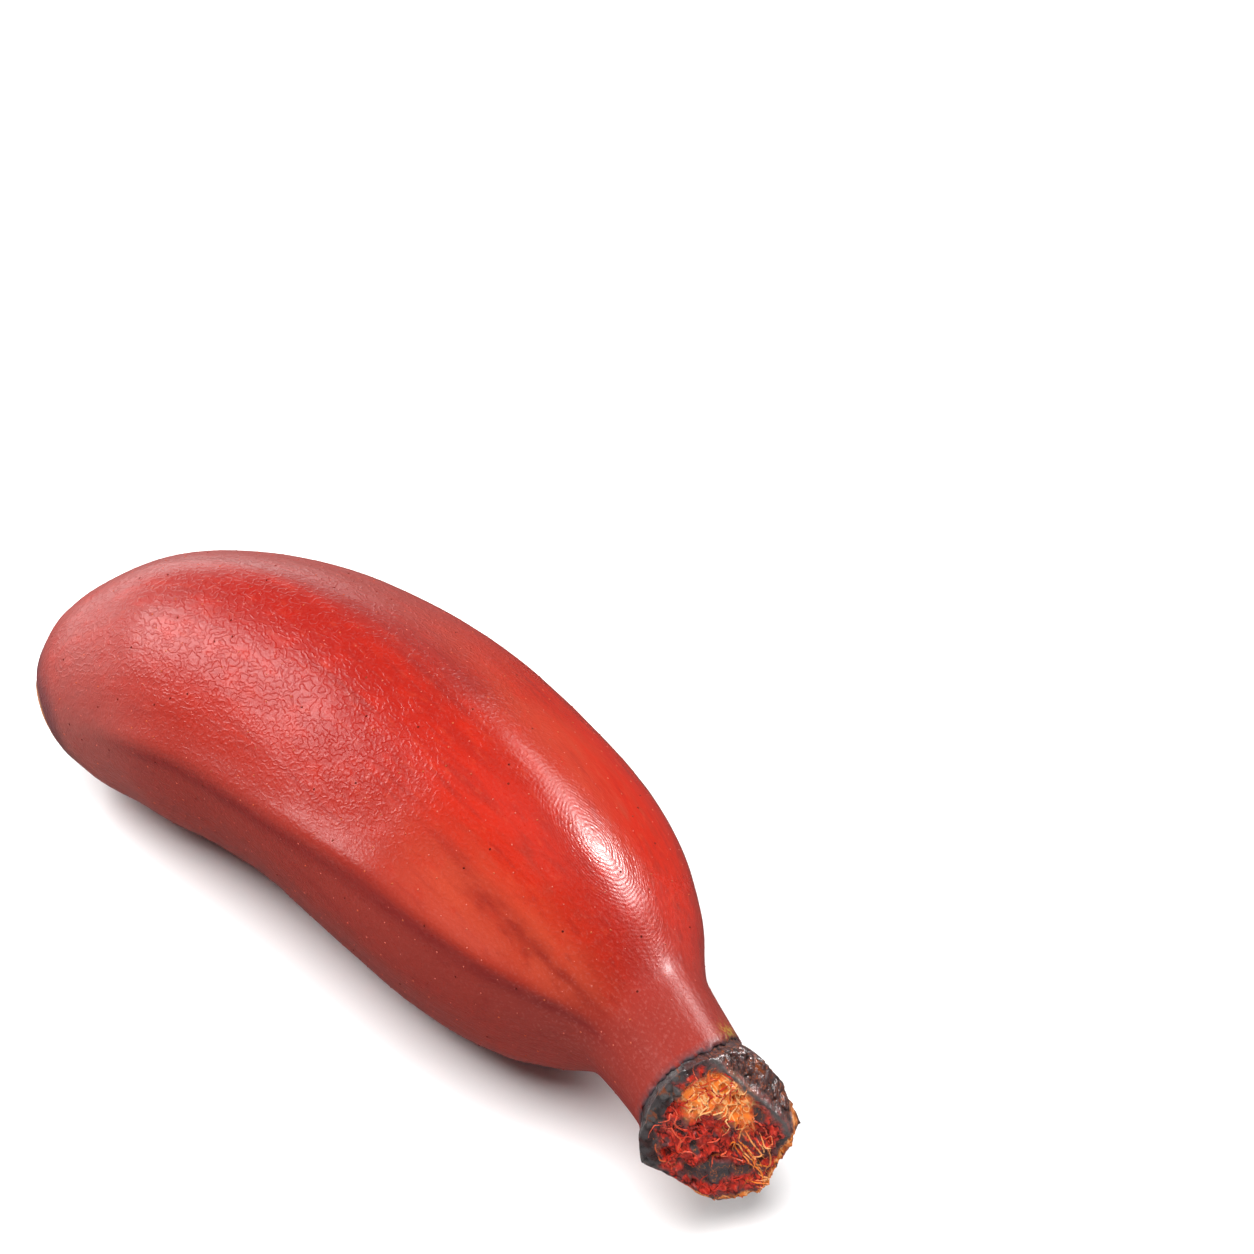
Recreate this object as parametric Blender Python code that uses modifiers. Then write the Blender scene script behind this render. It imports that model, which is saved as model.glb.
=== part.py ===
"""A single red banana lying on its side, torn from its hand at the stem.

The fruit is one grown piece, so it is one closed solid. A coarse cage of rings is lofted along a
bent axis and rounded by subdivision. Plane cuts then break off the stem end and give the belly a
narrow flat to rest on.
"""

import math

import bmesh
import bpy
from mathutils import Euler, Matrix, Vector

# Driving dimensions: lengths in millimetres, angles in degrees.
MM = 0.001

# Stations are distances along the axis, from the blossom end (0) to the stem end. The axis bends in
# one plane: each pair is a station and the axis's heading there, and the bend runs all one way.
AXIS_HEADINGS = ((0, 48), (12, 34), (41, 4), (69, -10.5), (98, -12.5), (126, -23), (146, -26))

# Station and radius: blunt blossom end, full body, slim neck, and the knob at the stem.
BODY_RADII = (
    (0, 7.2), (1, 8.4), (3, 10.5), (6, 13.1), (12, 16.1), (25, 20.0), (44, 21.5), (63, 22.0),
    (80, 21.3), (89, 20.2), (95, 18.8), (101, 16.8), (107, 13.7), (116, 8.6), (126, 7.9),
    (131, 9.5), (136, 10.6), (146, 10.8),
)

# The section is a soft pentagon. Angles round the axis start at the outside of the bend. Each pair
# is a station and how far a ridge stands out there, as a share of the radius.
RIDGES = 5
RIDGE_ANGLE = 66
RIDGE_HEIGHTS = ((0, 0.0), (12, 0.012), (40, 0.022), (80, 0.028), (97, 0.034), (108, 0.030), (118, 0.0), (146, 0.0))

# Stations of the cage's rings, closer together where the girth changes fast.
RING_STATIONS = (
    1.2, 2.6, 4.6, 7.5, 11.5, 16.5, 22.5, 29, 36, 43, 50, 57, 64, 71, 77, 82.5, 87.5, 92, 96, 100,
    104, 108, 112, 116, 120, 124, 127.5, 131, 134.5, 138, 142, 146,
)
SIDES = 20
SUBDIVISIONS = 1

# The scar at the blossom end: station and radius of each ring, from its sunken middle out to its
# raised lip. The lip stands past station 0.
SCAR_RINGS = ((0.7, 2.4), (0.6, 4.8), (-0.5, 5.6), (-0.9, 6.6), (-0.4, 7.4))

# Planes that break the stem end, measured from the axis at TEAR_STATION: how far each plane's normal
# leans from the axis, the angle round the axis that it leans towards, and the plane's distance.
TEAR_STATION = 132.7
TEAR_PLANES = {
    "tear_face_cutter": (31, 86, 0.0),
    "left_edge_cutter": (65, 190, 7.4),
    "bottom_edge_cutter": (34, 231, 8.0),
    "end_edge_cutter": (39, 313, 7.7),
}
TEAR_CUTTER_SIZE = 40

# The pose in which the fruit lies still: its balance on the belly, with the stem end along +X.
REST_TURN = (28.5, -2.2, 3.0)
FLAT_DEPTH = 0.45
FLOOR_CUTTER_SIZE = (200, 100, 20)


def smooth(table, station):
    """Monotone cubic curve through (station, value) pairs."""
    stations = [pair[0] for pair in table]
    values = [pair[1] for pair in table]
    last = len(table) - 1
    slopes = [
        (values[i + 1] - values[i]) / (stations[i + 1] - stations[i]) for i in range(last)
    ]
    tangents = [slopes[0]]
    for i in range(1, last):
        before, after = slopes[i - 1], slopes[i]
        tangents.append(2 * before * after / (before + after) if before * after > 0 else 0.0)
    tangents.append(slopes[-1])
    i = 0
    while i < last - 1 and station >= stations[i + 1]:
        i += 1
    width = stations[i + 1] - stations[i]
    t = (station - stations[i]) / width
    return (
        (2 * t**3 - 3 * t**2 + 1) * values[i]
        + (t**3 - 2 * t**2 + t) * width * tangents[i]
        + (3 * t**2 - 2 * t**3) * values[i + 1]
        + (t**3 - t**2) * width * tangents[i + 1]
    )


def axis_frame(station):
    """Matrix of the axis at a station: X runs along it, Y points to the outside of the bend."""
    step = 0.5
    steps = max(1, round(abs(station) / step))
    place = Vector((0, 0, 0))
    for i in range(steps):
        middle = station * (i + 0.5) / steps
        heading = math.radians(smooth(AXIS_HEADINGS, max(middle, 0)))
        place += Vector((math.cos(heading), math.sin(heading), 0)) * (station / steps)
    heading = math.radians(smooth(AXIS_HEADINGS, max(station, 0)))
    return Matrix.Translation(place) @ Matrix.Rotation(heading, 4, "Z")


def add_ring(bm, station, radius, ridge_height):
    """One ring of the cage, set square to the axis. Subdivision pulls a cage in, so it is drawn larger."""
    pulled_in = 0.75 + 0.25 * math.cos(math.tau / SIDES)
    frame = axis_frame(station)
    ring = bmesh.ops.create_circle(bm, segments=SIDES, radius=1)["verts"]
    for number, vert in enumerate(ring):
        angle = math.tau * number / SIDES
        ridge = 1 + ridge_height * math.cos(RIDGES * (angle - math.radians(RIDGE_ANGLE)))
        reach = radius * ridge / pulled_in
        vert.co = frame @ Vector((0, reach * math.cos(angle), reach * math.sin(angle)))
    return ring


def ring_edges(ring):
    members = set(ring)
    return [edge for edge in {e for vert in ring for e in vert.link_edges} if set(edge.verts) <= members]


def body_mesh():
    """The cage: scar rings, then body rings, each joined to the next, closed at both ends."""
    bm = bmesh.new()
    rings = [add_ring(bm, station, radius, 0) for station, radius in SCAR_RINGS]
    for station in RING_STATIONS:
        rings.append(add_ring(bm, station, smooth(BODY_RADII, station), smooth(RIDGE_HEIGHTS, station)))
    ends = [ring_edges(rings[0]), ring_edges(rings[-1])]
    loops = [ring_edges(ring) for ring in rings]
    for one, other in zip(loops, loops[1:]):
        bmesh.ops.bridge_loops(bm, edges=one + other)
    for end in ends:
        bmesh.ops.contextual_create(bm, geom=end)
    bmesh.ops.recalc_face_normals(bm, faces=bm.faces)
    bmesh.ops.scale(bm, vec=(MM, MM, MM), verts=bm.verts)
    mesh = bpy.data.meshes.new("red_banana")
    bm.to_mesh(mesh)
    bm.free()
    mesh.shade_smooth()
    return mesh


def peel_material():
    """Waxy red banana peel."""
    material = bpy.data.materials.new("red_banana_peel")
    material.use_nodes = True
    shader = material.node_tree.nodes["Principled BSDF"]
    shader.inputs["Base Color"].default_value = (0.48, 0.055, 0.04, 1)
    shader.inputs["Roughness"].default_value = 0.42
    shader.inputs["Metallic"].default_value = 0.0
    material.diffuse_color = (0.48, 0.055, 0.04, 1)
    return material


def add_box_cutter(name, size, collection):
    """A box that only cuts: shown as wires and never rendered."""
    bm = bmesh.new()
    bmesh.ops.create_cube(bm, size=1)
    bmesh.ops.scale(bm, vec=Vector(size) * MM, verts=bm.verts)
    mesh = bpy.data.meshes.new(name)
    bm.to_mesh(mesh)
    bm.free()
    cutter = bpy.data.objects.new(name, mesh)
    cutter.hide_render = True
    cutter.display_type = "WIRE"
    collection.objects.link(cutter)
    return cutter


def add_cut(body, cutter):
    cut = body.modifiers.new(cutter.name, "BOOLEAN")
    cut.operation = "DIFFERENCE"
    cut.solver = "EXACT"
    cut.object = cutter


def add_tear_cutter(name, lean, towards, distance, collection):
    """A box whose lower face is one plane of the break, moving with the fruit."""
    around = math.radians(towards)
    sideways = Vector((0, math.cos(around), math.sin(around)))
    tilt = math.radians(lean)
    normal = Vector((math.cos(tilt), 0, 0)) + sideways * math.sin(tilt)
    cutter = add_box_cutter(name, [TEAR_CUTTER_SIZE] * 3, collection)
    centre = normal * (distance + TEAR_CUTTER_SIZE / 2)
    place = axis_frame(TEAR_STATION)
    place.translation *= MM
    turn = normal.to_track_quat("Z", "Y").to_matrix().to_4x4()
    cutter.matrix_local = place @ Matrix.Translation(centre * MM) @ turn
    return cutter


def world_corners(obj):
    """Lowest and highest corner of an object, with its modifiers, in the world."""
    bpy.context.view_layer.update()
    evaluated = obj.evaluated_get(bpy.context.evaluated_depsgraph_get())
    points = [obj.matrix_world @ vert.co for vert in evaluated.data.vertices]
    low = Vector([min(point[axis] for point in points) for axis in range(3)])
    high = Vector([max(point[axis] for point in points) for axis in range(3)])
    return low, high


def lay_down(body, pose):
    """Turn the fruit into its resting pose, centred over the origin, its belly just under the floor."""
    pose.rotation_euler = Euler([math.radians(angle) for angle in REST_TURN])
    low, high = world_corners(body)
    pose.location -= Vector(((low.x + high.x) / 2, (low.y + high.y) / 2, low.z + FLAT_DEPTH * MM))


def build():
    for obj in list(bpy.data.objects):
        bpy.data.objects.remove(obj, do_unlink=True)
    parts = bpy.data.collections.new("red banana")
    cutters = bpy.data.collections.new("cutters")
    for collection in (parts, cutters):
        bpy.context.scene.collection.children.link(collection)

    pose = bpy.data.objects.new("resting_pose", None)
    parts.objects.link(pose)
    body = bpy.data.objects.new("red_banana", body_mesh())
    body.data.materials.append(peel_material())
    body.parent = pose
    parts.objects.link(body)

    rounding = body.modifiers.new("rounding", "SUBSURF")
    rounding.levels = SUBDIVISIONS
    rounding.render_levels = SUBDIVISIONS

    for name, (lean, towards, distance) in TEAR_PLANES.items():
        cutter = add_tear_cutter(name, lean, towards, distance, cutters)
        cutter.parent = pose
        add_cut(body, cutter)

    lay_down(body, pose)
    floor_cutter = add_box_cutter("floor_cutter", FLOOR_CUTTER_SIZE, cutters)
    floor_cutter.location.z = -FLOOR_CUTTER_SIZE[2] / 2 * MM
    add_cut(body, floor_cutter)


build()
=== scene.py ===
"""Looks of a loose red banana, laid out as a Blender add-on and run as a script.

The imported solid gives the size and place. The peel, the torn stalk with its fibres, the blossom scar
and the peel's small corky specks are modelled around it in the fruit's own terms: a station is a
distance along the bent axis from the blossom end, and an angle turns round the axis from the outside
of the bend. Lengths in these terms are in millimetres and angles in degrees. Everything in Blender is
in metres.
"""

import math

import bpy
import numpy as np
from mathutils import Euler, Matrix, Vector, noise


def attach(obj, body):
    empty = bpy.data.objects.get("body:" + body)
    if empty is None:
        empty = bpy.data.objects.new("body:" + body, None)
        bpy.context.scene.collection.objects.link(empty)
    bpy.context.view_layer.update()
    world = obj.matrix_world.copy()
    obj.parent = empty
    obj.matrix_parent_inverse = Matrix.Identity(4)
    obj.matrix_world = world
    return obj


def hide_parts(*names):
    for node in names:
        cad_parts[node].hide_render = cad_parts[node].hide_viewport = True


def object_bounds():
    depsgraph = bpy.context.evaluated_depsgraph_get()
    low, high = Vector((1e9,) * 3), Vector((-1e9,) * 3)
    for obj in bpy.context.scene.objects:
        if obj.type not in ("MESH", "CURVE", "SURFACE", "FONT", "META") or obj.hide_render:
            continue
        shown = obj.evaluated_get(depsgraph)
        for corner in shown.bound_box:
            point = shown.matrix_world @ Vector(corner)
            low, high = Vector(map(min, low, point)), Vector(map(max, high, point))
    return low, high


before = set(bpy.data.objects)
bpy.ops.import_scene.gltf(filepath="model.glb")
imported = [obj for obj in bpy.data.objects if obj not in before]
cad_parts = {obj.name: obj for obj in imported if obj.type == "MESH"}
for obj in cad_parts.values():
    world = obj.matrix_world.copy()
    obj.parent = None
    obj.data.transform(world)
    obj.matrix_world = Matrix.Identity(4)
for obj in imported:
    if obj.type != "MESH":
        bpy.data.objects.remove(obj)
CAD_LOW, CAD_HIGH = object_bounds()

bl_info = {
    "name": "Red Banana",
    "version": (1, 0, 0),
    "blender": (4, 5, 0),
    "location": "View3D > Sidebar > Red Banana",
    "description": "Models one red banana, torn from its hand, on a pale studio floor",
    "category": "Object",
}

NODE = "red_banana"
MM = 0.001

# The fruit's shape. Each table pairs a station with a value: the axis's heading, the body's radius,
# and the height of its soft ridges as a share of the radius.
AXIS_HEADINGS = ((0, 48), (12, 34), (41, 4), (69, -10.5), (98, -12.5), (126, -23), (146, -26))
BODY_RADII = (
    (0, 7.2), (1, 8.4), (3, 10.5), (6, 13.1), (12, 16.1), (25, 20.0), (44, 21.5), (63, 22.0),
    (80, 21.3), (89, 20.2), (95, 18.8), (101, 16.8), (107, 13.7), (116, 8.6), (126, 7.9),
    (131, 9.5), (136, 10.6), (146, 10.8),
)
RIDGES = 5
# Angle of one of the soft ridges.
RIDGE_ANGLE = 66
RIDGE_HEIGHTS = (
    (0, 0.0), (12, 0.012), (40, 0.022), (80, 0.028), (97, 0.034), (108, 0.030), (118, 0.0), (146, 0.0),
)
# How the fruit is turned as it lies, about x, y and z, and how deep its belly is pressed flat.
REST_TURN = (28.5, -2.2, 3.0)
REST_DEPTH = 0.45
# The axis is walked in short steps to a point past the stalk's end.
AXIS_LENGTH = 150
AXIS_STEP = 0.25
# A centre point stands this little off the axis, so that it has an angle too. No other comes near.
CENTRE = 0.001
NEAR_CENTRE = 0.05

# The peel stops in a ragged lip: its mean station, its station by angle round the axis, and its wall.
LIP_MEAN = 126.6
LIP_STATIONS = (
    (0, 124.2), (50, 126.2), (100, LIP_MEAN), (145, 127.0), (185, 128.6), (250, 129.4),
    (310, LIP_MEAN), (360, 124.2),
)
LIP_WALL = 0.5
# Rings at the lip: distance back from it, depth under the skin, and the share of the tear they take.
LIP_RINGS = ((0, 0.1, 1), (-0.1, 0.8 * LIP_WALL, 1), (0.8, LIP_WALL + 0.2, 0.6), (3, 0.9, 0), (6, 1.2, 0))
# The body's last ring takes a little of the tear too.
LAST_RING_TEAR = 0.35
# Rings under the blossom scar: station and radius.
SCAR_SEAT = ((1.9, 2.0), (1.7, 4.4), (1.1, 6.0), (0.5, 6.9), (0.45, 7.6))
# First and last ring of the body, before the lip draws the last ones after it.
BODY_STATIONS = (1.2, LIP_MEAN - 0.5)
PEEL_SIDES = 144
PEEL_RING_GAP = 0.83
# The peel's UV map keeps this margin, and this room for the faces over its seam.
UV_MARGIN = 0.01
SEAM_ROOM = 0.04

# Towards the stem, long wrinkles ring this place of the unbent peel: its station, and its offsets
# outward and to the side. The shape draws them closer together across the fruit than along it.
RIPPLE_CENTRE = (101, 10.5, 14.5)
RIPPLE_SHAPE = (1.0, 2.2, 2.2)

# Angles of the side that faces forward, of the bright upper side, and of the green left at the lip.
FRONT_ANGLE = 100
BRIGHT_ANGLE = 52
OLIVE_ANGLE = 20
# What each attribute of the peel holds. The wine and stripe tones also hold painted shade, the glow
# holds painted light beside the highlights, and the dust also holds a painted pale sheen.
PEEL_ZONES = {
    "peel_tones": ("blush", "wine_and_shade", "stripe_and_shade"),
    "peel_marks": ("olive", "halo", "char"),
    "peel_wear": ("dust_and_sheen", "rings", "strain"),
    "peel_light": ("wax", "worms", "bright_red_and_painted_light"),
}
# Soft patches of the peel: zone, station and half length, angle and half width in degrees, strength.
PEEL_PATCHES = (
    ("blush", 101, 16, 114, 24, 1.0), ("blush", 84, 26, 34, 22, 0.45),
    # Painted light: the glow patches brighten the red round the highlights.
    ("bright_red_and_painted_light", 104, 12, 22, 24, 0.9), ("bright_red_and_painted_light", 84, 22, 12, 22, 0.8),
    ("bright_red_and_painted_light", 50, 30, 120, 14, 0.6), ("bright_red_and_painted_light", 92, 20, 82, 15, 0.9),
    # The stripe patch near the blossom end is painted shade.
    ("wine_and_shade", 52, 26, 44, 14, 0.5), ("stripe_and_shade", 22, 15, 74, 13, 0.5), ("strain", 94, 14, 82, 18, 0.8),
)
# Dark lines along the peel: angle, first and last station, half width in degrees and strength.
PEEL_STRIPES = (
    (102, 82, 118, 4.0, 0.75), (53, 8, 80, 9.0, 0.75),
    (215, 30, 116, 5.0, 0.7), (287, 30, 116, 5.0, 0.7), (345, 40, 112, 4.0, 0.5),
)
# The sharper edge low on one side: its angle by station, half width in degrees, height in millimetres.
EDGE_ANGLES = ((0, 138), (36, 137), (52, 136), (60, 134), (70, 130), (83, 125), (130, 124))
EDGE_WIDTH = 6
EDGE_HEIGHT = 1.5
# The low ridge on top of the neck: angle and half width in degrees, height in millimetres.
NECK_RIDGE_ANGLE = 44
NECK_RIDGE_WIDTH = 24
NECK_RIDGE_HEIGHT = 0.38

# Planes of the broken stalk, measured from the axis at BREAK_STATION: how far the plane's normal leans
# from the axis, the angle round the axis that it leans towards, and its distance.
BREAK_STATION = 132.7
BREAK_PLANES = {
    "face": (31, 86, 0.0),
    "left edge": (65, 190, 7.4),
    "bottom edge": (34, 231, 8.0),
    "end edge": (39, 313, 7.7),
    "bark edge": (64, 14, 6.2),
    "bark slope": (51, 42, 3.45),
}
# The stalk's mesh starts inside the peel, and has rings along its side and over its torn face.
STALK_ROOT = 120.0
STALK_SIDES = 260
SIDE_RINGS = 58
FACE_RINGS = 56

# Angles of the middle of the bark, of the dark skins along the face's edge, and of the thin rim.
BARK_ANGLE = 5
SKIN_ANGLE = 150
RIM_ANGLE = 268
# Sizes of the noise on the broken end: the wander of its zones' edges, the rough, crests and pits of
# its flesh, and the scales of its bark along the stalk and across it.
WANDER_SIZE = 1.5
ROUGH_SIZE = 2.2
CREST_SIZE = 2.0
PIT_SIZE = 2.3
SCALE_SIZES = (3.6, 1.3, 1.3)
# Fractal noise: how fast its octaves fade, and how much finer each one is than the last.
FRACTAL = (0.9, 2.1)
# What each attribute of the stalk holds.
STALK_ZONES = {
    "torn_zones": ("ember", "dark", "comb"),
    "skin_zones": ("ridge", "bark", "char"),
    "edge_zones": ("rim", "lens", "crack"),
}
# Patches of the torn face: zone, angle round the axis, share of the way to the rim, half width along
# the radius and across it in millimetres, and strength.
STALK_PATCHES = (
    ("ember", 48, 0.58, 2.4, 3.4, 1.0), ("ember", 92, 0.62, 1.7, 2.2, 0.8),
    ("ember", 0, 0.36, 1.6, 1.9, 0.9), ("dark", 232, 0.42, 1.2, 2.0, 1.0),
    ("dark", 257, 0.80, 0.9, 1.1, 0.9), ("dark", 310, 0.76, 0.9, 2.6, 0.8),
    ("dark", 152, 0.86, 0.9, 2.2, 0.7), ("dark", 230, 0.84, 1.3, 2.8, 0.9),
    ("dark", 214, 0.60, 0.9, 1.5, 0.8), ("dark", 268, 0.52, 0.7, 1.1, 0.7),
    ("dark", 172, 0.38, 0.6, 1.0, 0.7), ("dark", 345, 0.52, 0.8, 1.5, 0.7),
    ("dark", 190, 0.62, 0.8, 1.3, 0.7), ("dark", 118, 0.92, 0.7, 1.8, 0.6),
    ("lens", 232, 0.88, 0.6, 1.3, 1.0), ("comb", 277, 0.78, 2.4, 1.5, 1.0),
    ("comb", 292, 0.38, 2.4, 1.9, 1.0),
)
# Combed strands point to this place: angle round the axis and share of the way to the rim.
COMB_CORNER = (277, 1.0)
# The ridge that parts torn face and bark: its direction and distance from the axis, and its bend.
CHORD_NORMAL = (0.966, 0.259)
CHORD_DISTANCE = 6.0
CHORD_BEND = 0.05

# The blossom scar: its radius in millimetres, and its shape from centre to edge as a share of the
# radius with a station. Its back has rings too: a share of the radius and a distance behind the face.
SCAR_RADIUS = 7.3
SCAR_SIDES = 200
SCAR_RINGS = 62
SCAR_PROFILE = (
    (0.0, 0.75), (0.12, 0.55), (0.34, 0.55), (0.41, 1.15), (0.54, 1.10), (0.60, 0.50), (0.66, 0.62),
    (0.82, 0.50), (0.90, 0.20), (0.94, 0.00), (0.98, 0.35), (1.0, 0.9),
)
SCAR_BACK = ((0.97, 1.4), (0.6, 2.0), (0.0, 1.8))
# Angles of the slots in the plug and of the gap in the lip.
SCAR_SLOTS = (20, 145, 262)
SCAR_GAP = 75
SCAR_ZONES = {"scar_zones": ("lip", "band", "crack"), "core_zones": ("ring", "dark", "plug")}

# The camera looks down on the fruit from its stem end. Angles in degrees, lengths in metres.
CAMERA_ELEVATION = 37.7
CAMERA_AZIMUTH = 44.24
CAMERA_VIEW_ANGLE = 25.0
CAMERA_DISTANCE = 0.4412
CAMERA_TARGET = (-0.0277, 0.0654, 0.0)

# Soft boxes: lamp, the setting that holds its power, compass bearing and elevation in degrees, distance
# and size in metres, and whether it only makes a highlight. The others only give light.
SOFT_BOXES = (
    ("key_soft_box", "key_power", 79, 42, 0.8, (0.90, 0.22), True),
    ("core_soft_box", "core_power", 71, 42, 0.8, (0.10, 0.20), True),
    ("side_soft_box", "side_power", -151, 34, 0.75, (0.30, 0.24), True),
    ("rim_soft_box", "rim_power", 172, 7, 1.0, (1.8, 0.3), True),
    ("top_soft_box", "top_power", -70, 80, 1.0, (1.0, 1.0), False),
    ("left_fill", "left_fill_power", -165, 35, 0.4, (0.25, 0.25), False),
    ("right_fill", "right_fill_power", 68, 38, 1.0, (0.6, 0.6), False),
)
# The floor lies this far under the fruit.
FLOOR_GAP = 0.1 * MM


def linear_colour(code):
    """Linear RGB from an sRGB hex code."""
    channels = [int(code[i : i + 2], 16) / 255 for i in (1, 3, 5)]
    return tuple(c / 12.92 if c <= 0.04045 else ((c + 0.055) / 1.055) ** 2.4 for c in channels)


def connect(tree, node, inputs):
    """Gives each named input of a node a socket, another node (its first output) or a value."""
    for key, value in inputs.items():
        if isinstance(value, bpy.types.Node):
            value = value.outputs[0]
        if isinstance(value, bpy.types.NodeSocket):
            tree.links.new(value, node.inputs[key])
        else:
            node.inputs[key].default_value = value


def add_node(tree, kind, inputs=None, **settings):
    """Adds a node with its settings and inputs."""
    node = tree.nodes.new(kind)
    for name, value in settings.items():
        setattr(node, name, value)
    connect(tree, node, inputs or {})
    return node


def smooth(table, station):
    """Monotone cubic curve through (station, value) pairs."""
    stations = [pair[0] for pair in table]
    values = [pair[1] for pair in table]
    last = len(table) - 1
    slopes = [(values[i + 1] - values[i]) / (stations[i + 1] - stations[i]) for i in range(last)]
    tangents = [slopes[0]]
    for before, after in zip(slopes, slopes[1:]):
        tangents.append(2 * before * after / (before + after) if before * after > 0 else 0.0)
    tangents.append(slopes[-1])
    i = 0
    while i < last - 1 and station >= stations[i + 1]:
        i += 1
    width = stations[i + 1] - stations[i]
    t = (station - stations[i]) / width
    return (
        (2 * t**3 - 3 * t**2 + 1) * values[i]
        + (t**3 - 2 * t**2 + t) * width * tangents[i]
        + (3 * t**2 - 2 * t**3) * values[i + 1]
        + (t**3 - t**2) * width * tangents[i + 1]
    )


def step(low, high, value):
    """0 below low, 1 above high, and a smooth rise between them."""
    t = min(max((value - low) / (high - low), 0.0), 1.0)
    return t * t * (3 - 2 * t)


def hump(value, centre, width):
    """A soft bump of height 1 round centre."""
    return math.exp(-(((value - centre) / width) ** 2))


def turn_between(angle, centre):
    """Signed difference of two angles in degrees, from -180 to 180."""
    return (angle - centre + 180) % 360 - 180


class Axis:
    """The fruit's bent axis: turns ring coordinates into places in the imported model's frame."""

    def __init__(self):
        self.places, place = [Vector((0, 0, 0))], Vector((0, 0, 0))
        for i in range(round(AXIS_LENGTH / AXIS_STEP)):
            heading = math.radians(smooth(AXIS_HEADINGS, (i + 0.5) * AXIS_STEP))
            place = place + Vector((math.cos(heading), math.sin(heading), 0)) * AXIS_STEP
            self.places.append(place)
        self.turn = Euler([math.radians(angle) for angle in REST_TURN]).to_matrix()
        self.shift = Vector((0, 0, 0))
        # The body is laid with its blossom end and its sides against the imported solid's box.
        body = [
            self.world(s, *on_ring(body_radius(s, a), a)) for s in range(1, 126) for a in range(0, 360, 4)
        ]
        low, high = ([pick(p[i] for p in body) for i in range(3)] for pick in (min, max))
        middle = (CAD_LOW.y + CAD_HIGH.y - low[1] - high[1]) / 2
        self.shift = Vector((CAD_LOW.x - low[0], middle, -REST_DEPTH * MM - low[2]))

    def frame(self, station):
        """Place on the axis, in millimetres, and its heading there."""
        heading = math.radians(smooth(AXIS_HEADINGS, max(station, 0)))
        if station < 0:
            return Vector((math.cos(heading), math.sin(heading), 0)) * station, heading
        i = min(int(station / AXIS_STEP), len(self.places) - 2)
        return self.places[i].lerp(self.places[i + 1], station / AXIS_STEP - i), heading

    def world(self, station, outward, sideways):
        """Point at a station, its offsets towards the outside of the bend and to the side in millimetres."""
        place, heading = self.frame(station)
        place = place + Vector((-math.sin(heading), math.cos(heading), 0)) * outward
        place.z += sideways
        return self.turn @ place * MM + self.shift

    def along(self, station):
        """Direction of the axis."""
        heading = self.frame(station)[1]
        return self.turn @ Vector((math.cos(heading), math.sin(heading), 0))


def on_ring(radius, angle):
    """Offsets outward and to the side of a point on a ring."""
    return radius * math.cos(math.radians(angle)), radius * math.sin(math.radians(angle))


def ring_angle(place):
    """Angle round the axis of a place in ring coordinates."""
    return math.degrees(math.atan2(place[2], place[1]))


def body_radius(station, angle):
    """Radius of the soft five-sided section."""
    ridge = smooth(RIDGE_HEIGHTS, station) * math.cos(math.radians(RIDGES * (angle - RIDGE_ANGLE)))
    return smooth(BODY_RADII, station) * (1 + ridge)


AXIS = Axis()


class Rings:
    """Rings of a closed mesh, laid one after another in ring coordinates, with each point's zones."""

    def __init__(self, stored):
        self.stored = stored
        self.points, self.unbent = [], []
        self.zones = {name: [] for name in stored}

    def lay(self, places, zones):
        """Adds a ring of places, each with its zones by name."""
        self.points.append([AXIS.world(*place) for place in places])
        self.unbent.append(places)
        for name, labels in self.stored.items():
            self.zones[name].append([[here[label] for label in labels] for here in zones])

    def mesh(self, name, **more):
        """Mesh through the rings, of which the first and last are one point each.

        More attributes have a number or a vector for each point, laid out as the rings are.
        """
        starts, points, faces = [], [], []
        for ring in self.points:
            starts.append(len(points))
            points.extend(ring)
        sides = len(self.points[1])
        last = len(self.points) - 2
        for ring, (here, there) in enumerate(zip(starts, starts[1:])):
            for side in range(sides):
                after = (side + 1) % sides
                if ring == 0:
                    faces.append((here, there + after, there + side))
                elif ring == last:
                    faces.append((here + side, here + after, there))
                else:
                    faces.append((here + side, here + after, there + after, there + side))
        mesh = bpy.data.meshes.new(name)
        mesh.from_pydata(points, [], faces)
        for label, rows in {"unbent": self.unbent, **self.zones, **more}.items():
            flat = np.array([value for row in rows for value in row], np.float32)
            kind, field = ("FLOAT_VECTOR", "vector") if flat.ndim == 2 else ("FLOAT", "value")
            mesh.attributes.new(label, kind, "POINT").data.foreach_set(field, flat.ravel())
        mesh.shade_smooth()
        return mesh


def new_piece(name, mesh):
    """An object in the scene, at the origin."""
    piece = bpy.data.objects.new(name, mesh)
    bpy.context.scene.collection.objects.link(piece)
    return piece


def finish_piece(piece):
    """Fixes a piece to the fruit's one body."""
    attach(piece, "root")


# Kind of socket by the type of its default.
SOCKETS = {
    float: "NodeSocketFloat",
    int: "NodeSocketInt",
    tuple: "NodeSocketVector",
    type(None): "NodeSocketMaterial",
}


def new_tree(name, defaults):
    """A Geometry Nodes tree with a geometry input and output, and named inputs with their defaults.

    The kind of an input follows from its default, and None stands for a material. Lengths are in metres.
    """
    tree = bpy.data.node_groups.new(name, "GeometryNodeTree")
    tree.is_modifier = True
    tree.interface.new_socket("Geometry", in_out="INPUT", socket_type="NodeSocketGeometry")
    for label, default in defaults.items():
        socket = tree.interface.new_socket(label, in_out="INPUT", socket_type=SOCKETS[type(default)])
        if default is not None:
            socket.default_value = default
    tree.interface.new_socket("Geometry", in_out="OUTPUT", socket_type="NodeSocketGeometry")
    return tree, add_node(tree, "NodeGroupInput").outputs


def end_tree(tree, geometry, material):
    """Ends a tree: copies are made real, take their material and go out."""
    realized = add_node(tree, "GeometryNodeRealizeInstances", {"Geometry": geometry})
    painted = add_node(tree, "GeometryNodeSetMaterial", {"Geometry": realized, "Material": material})
    add_node(tree, "NodeGroupOutput", {"Geometry": painted})


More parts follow.
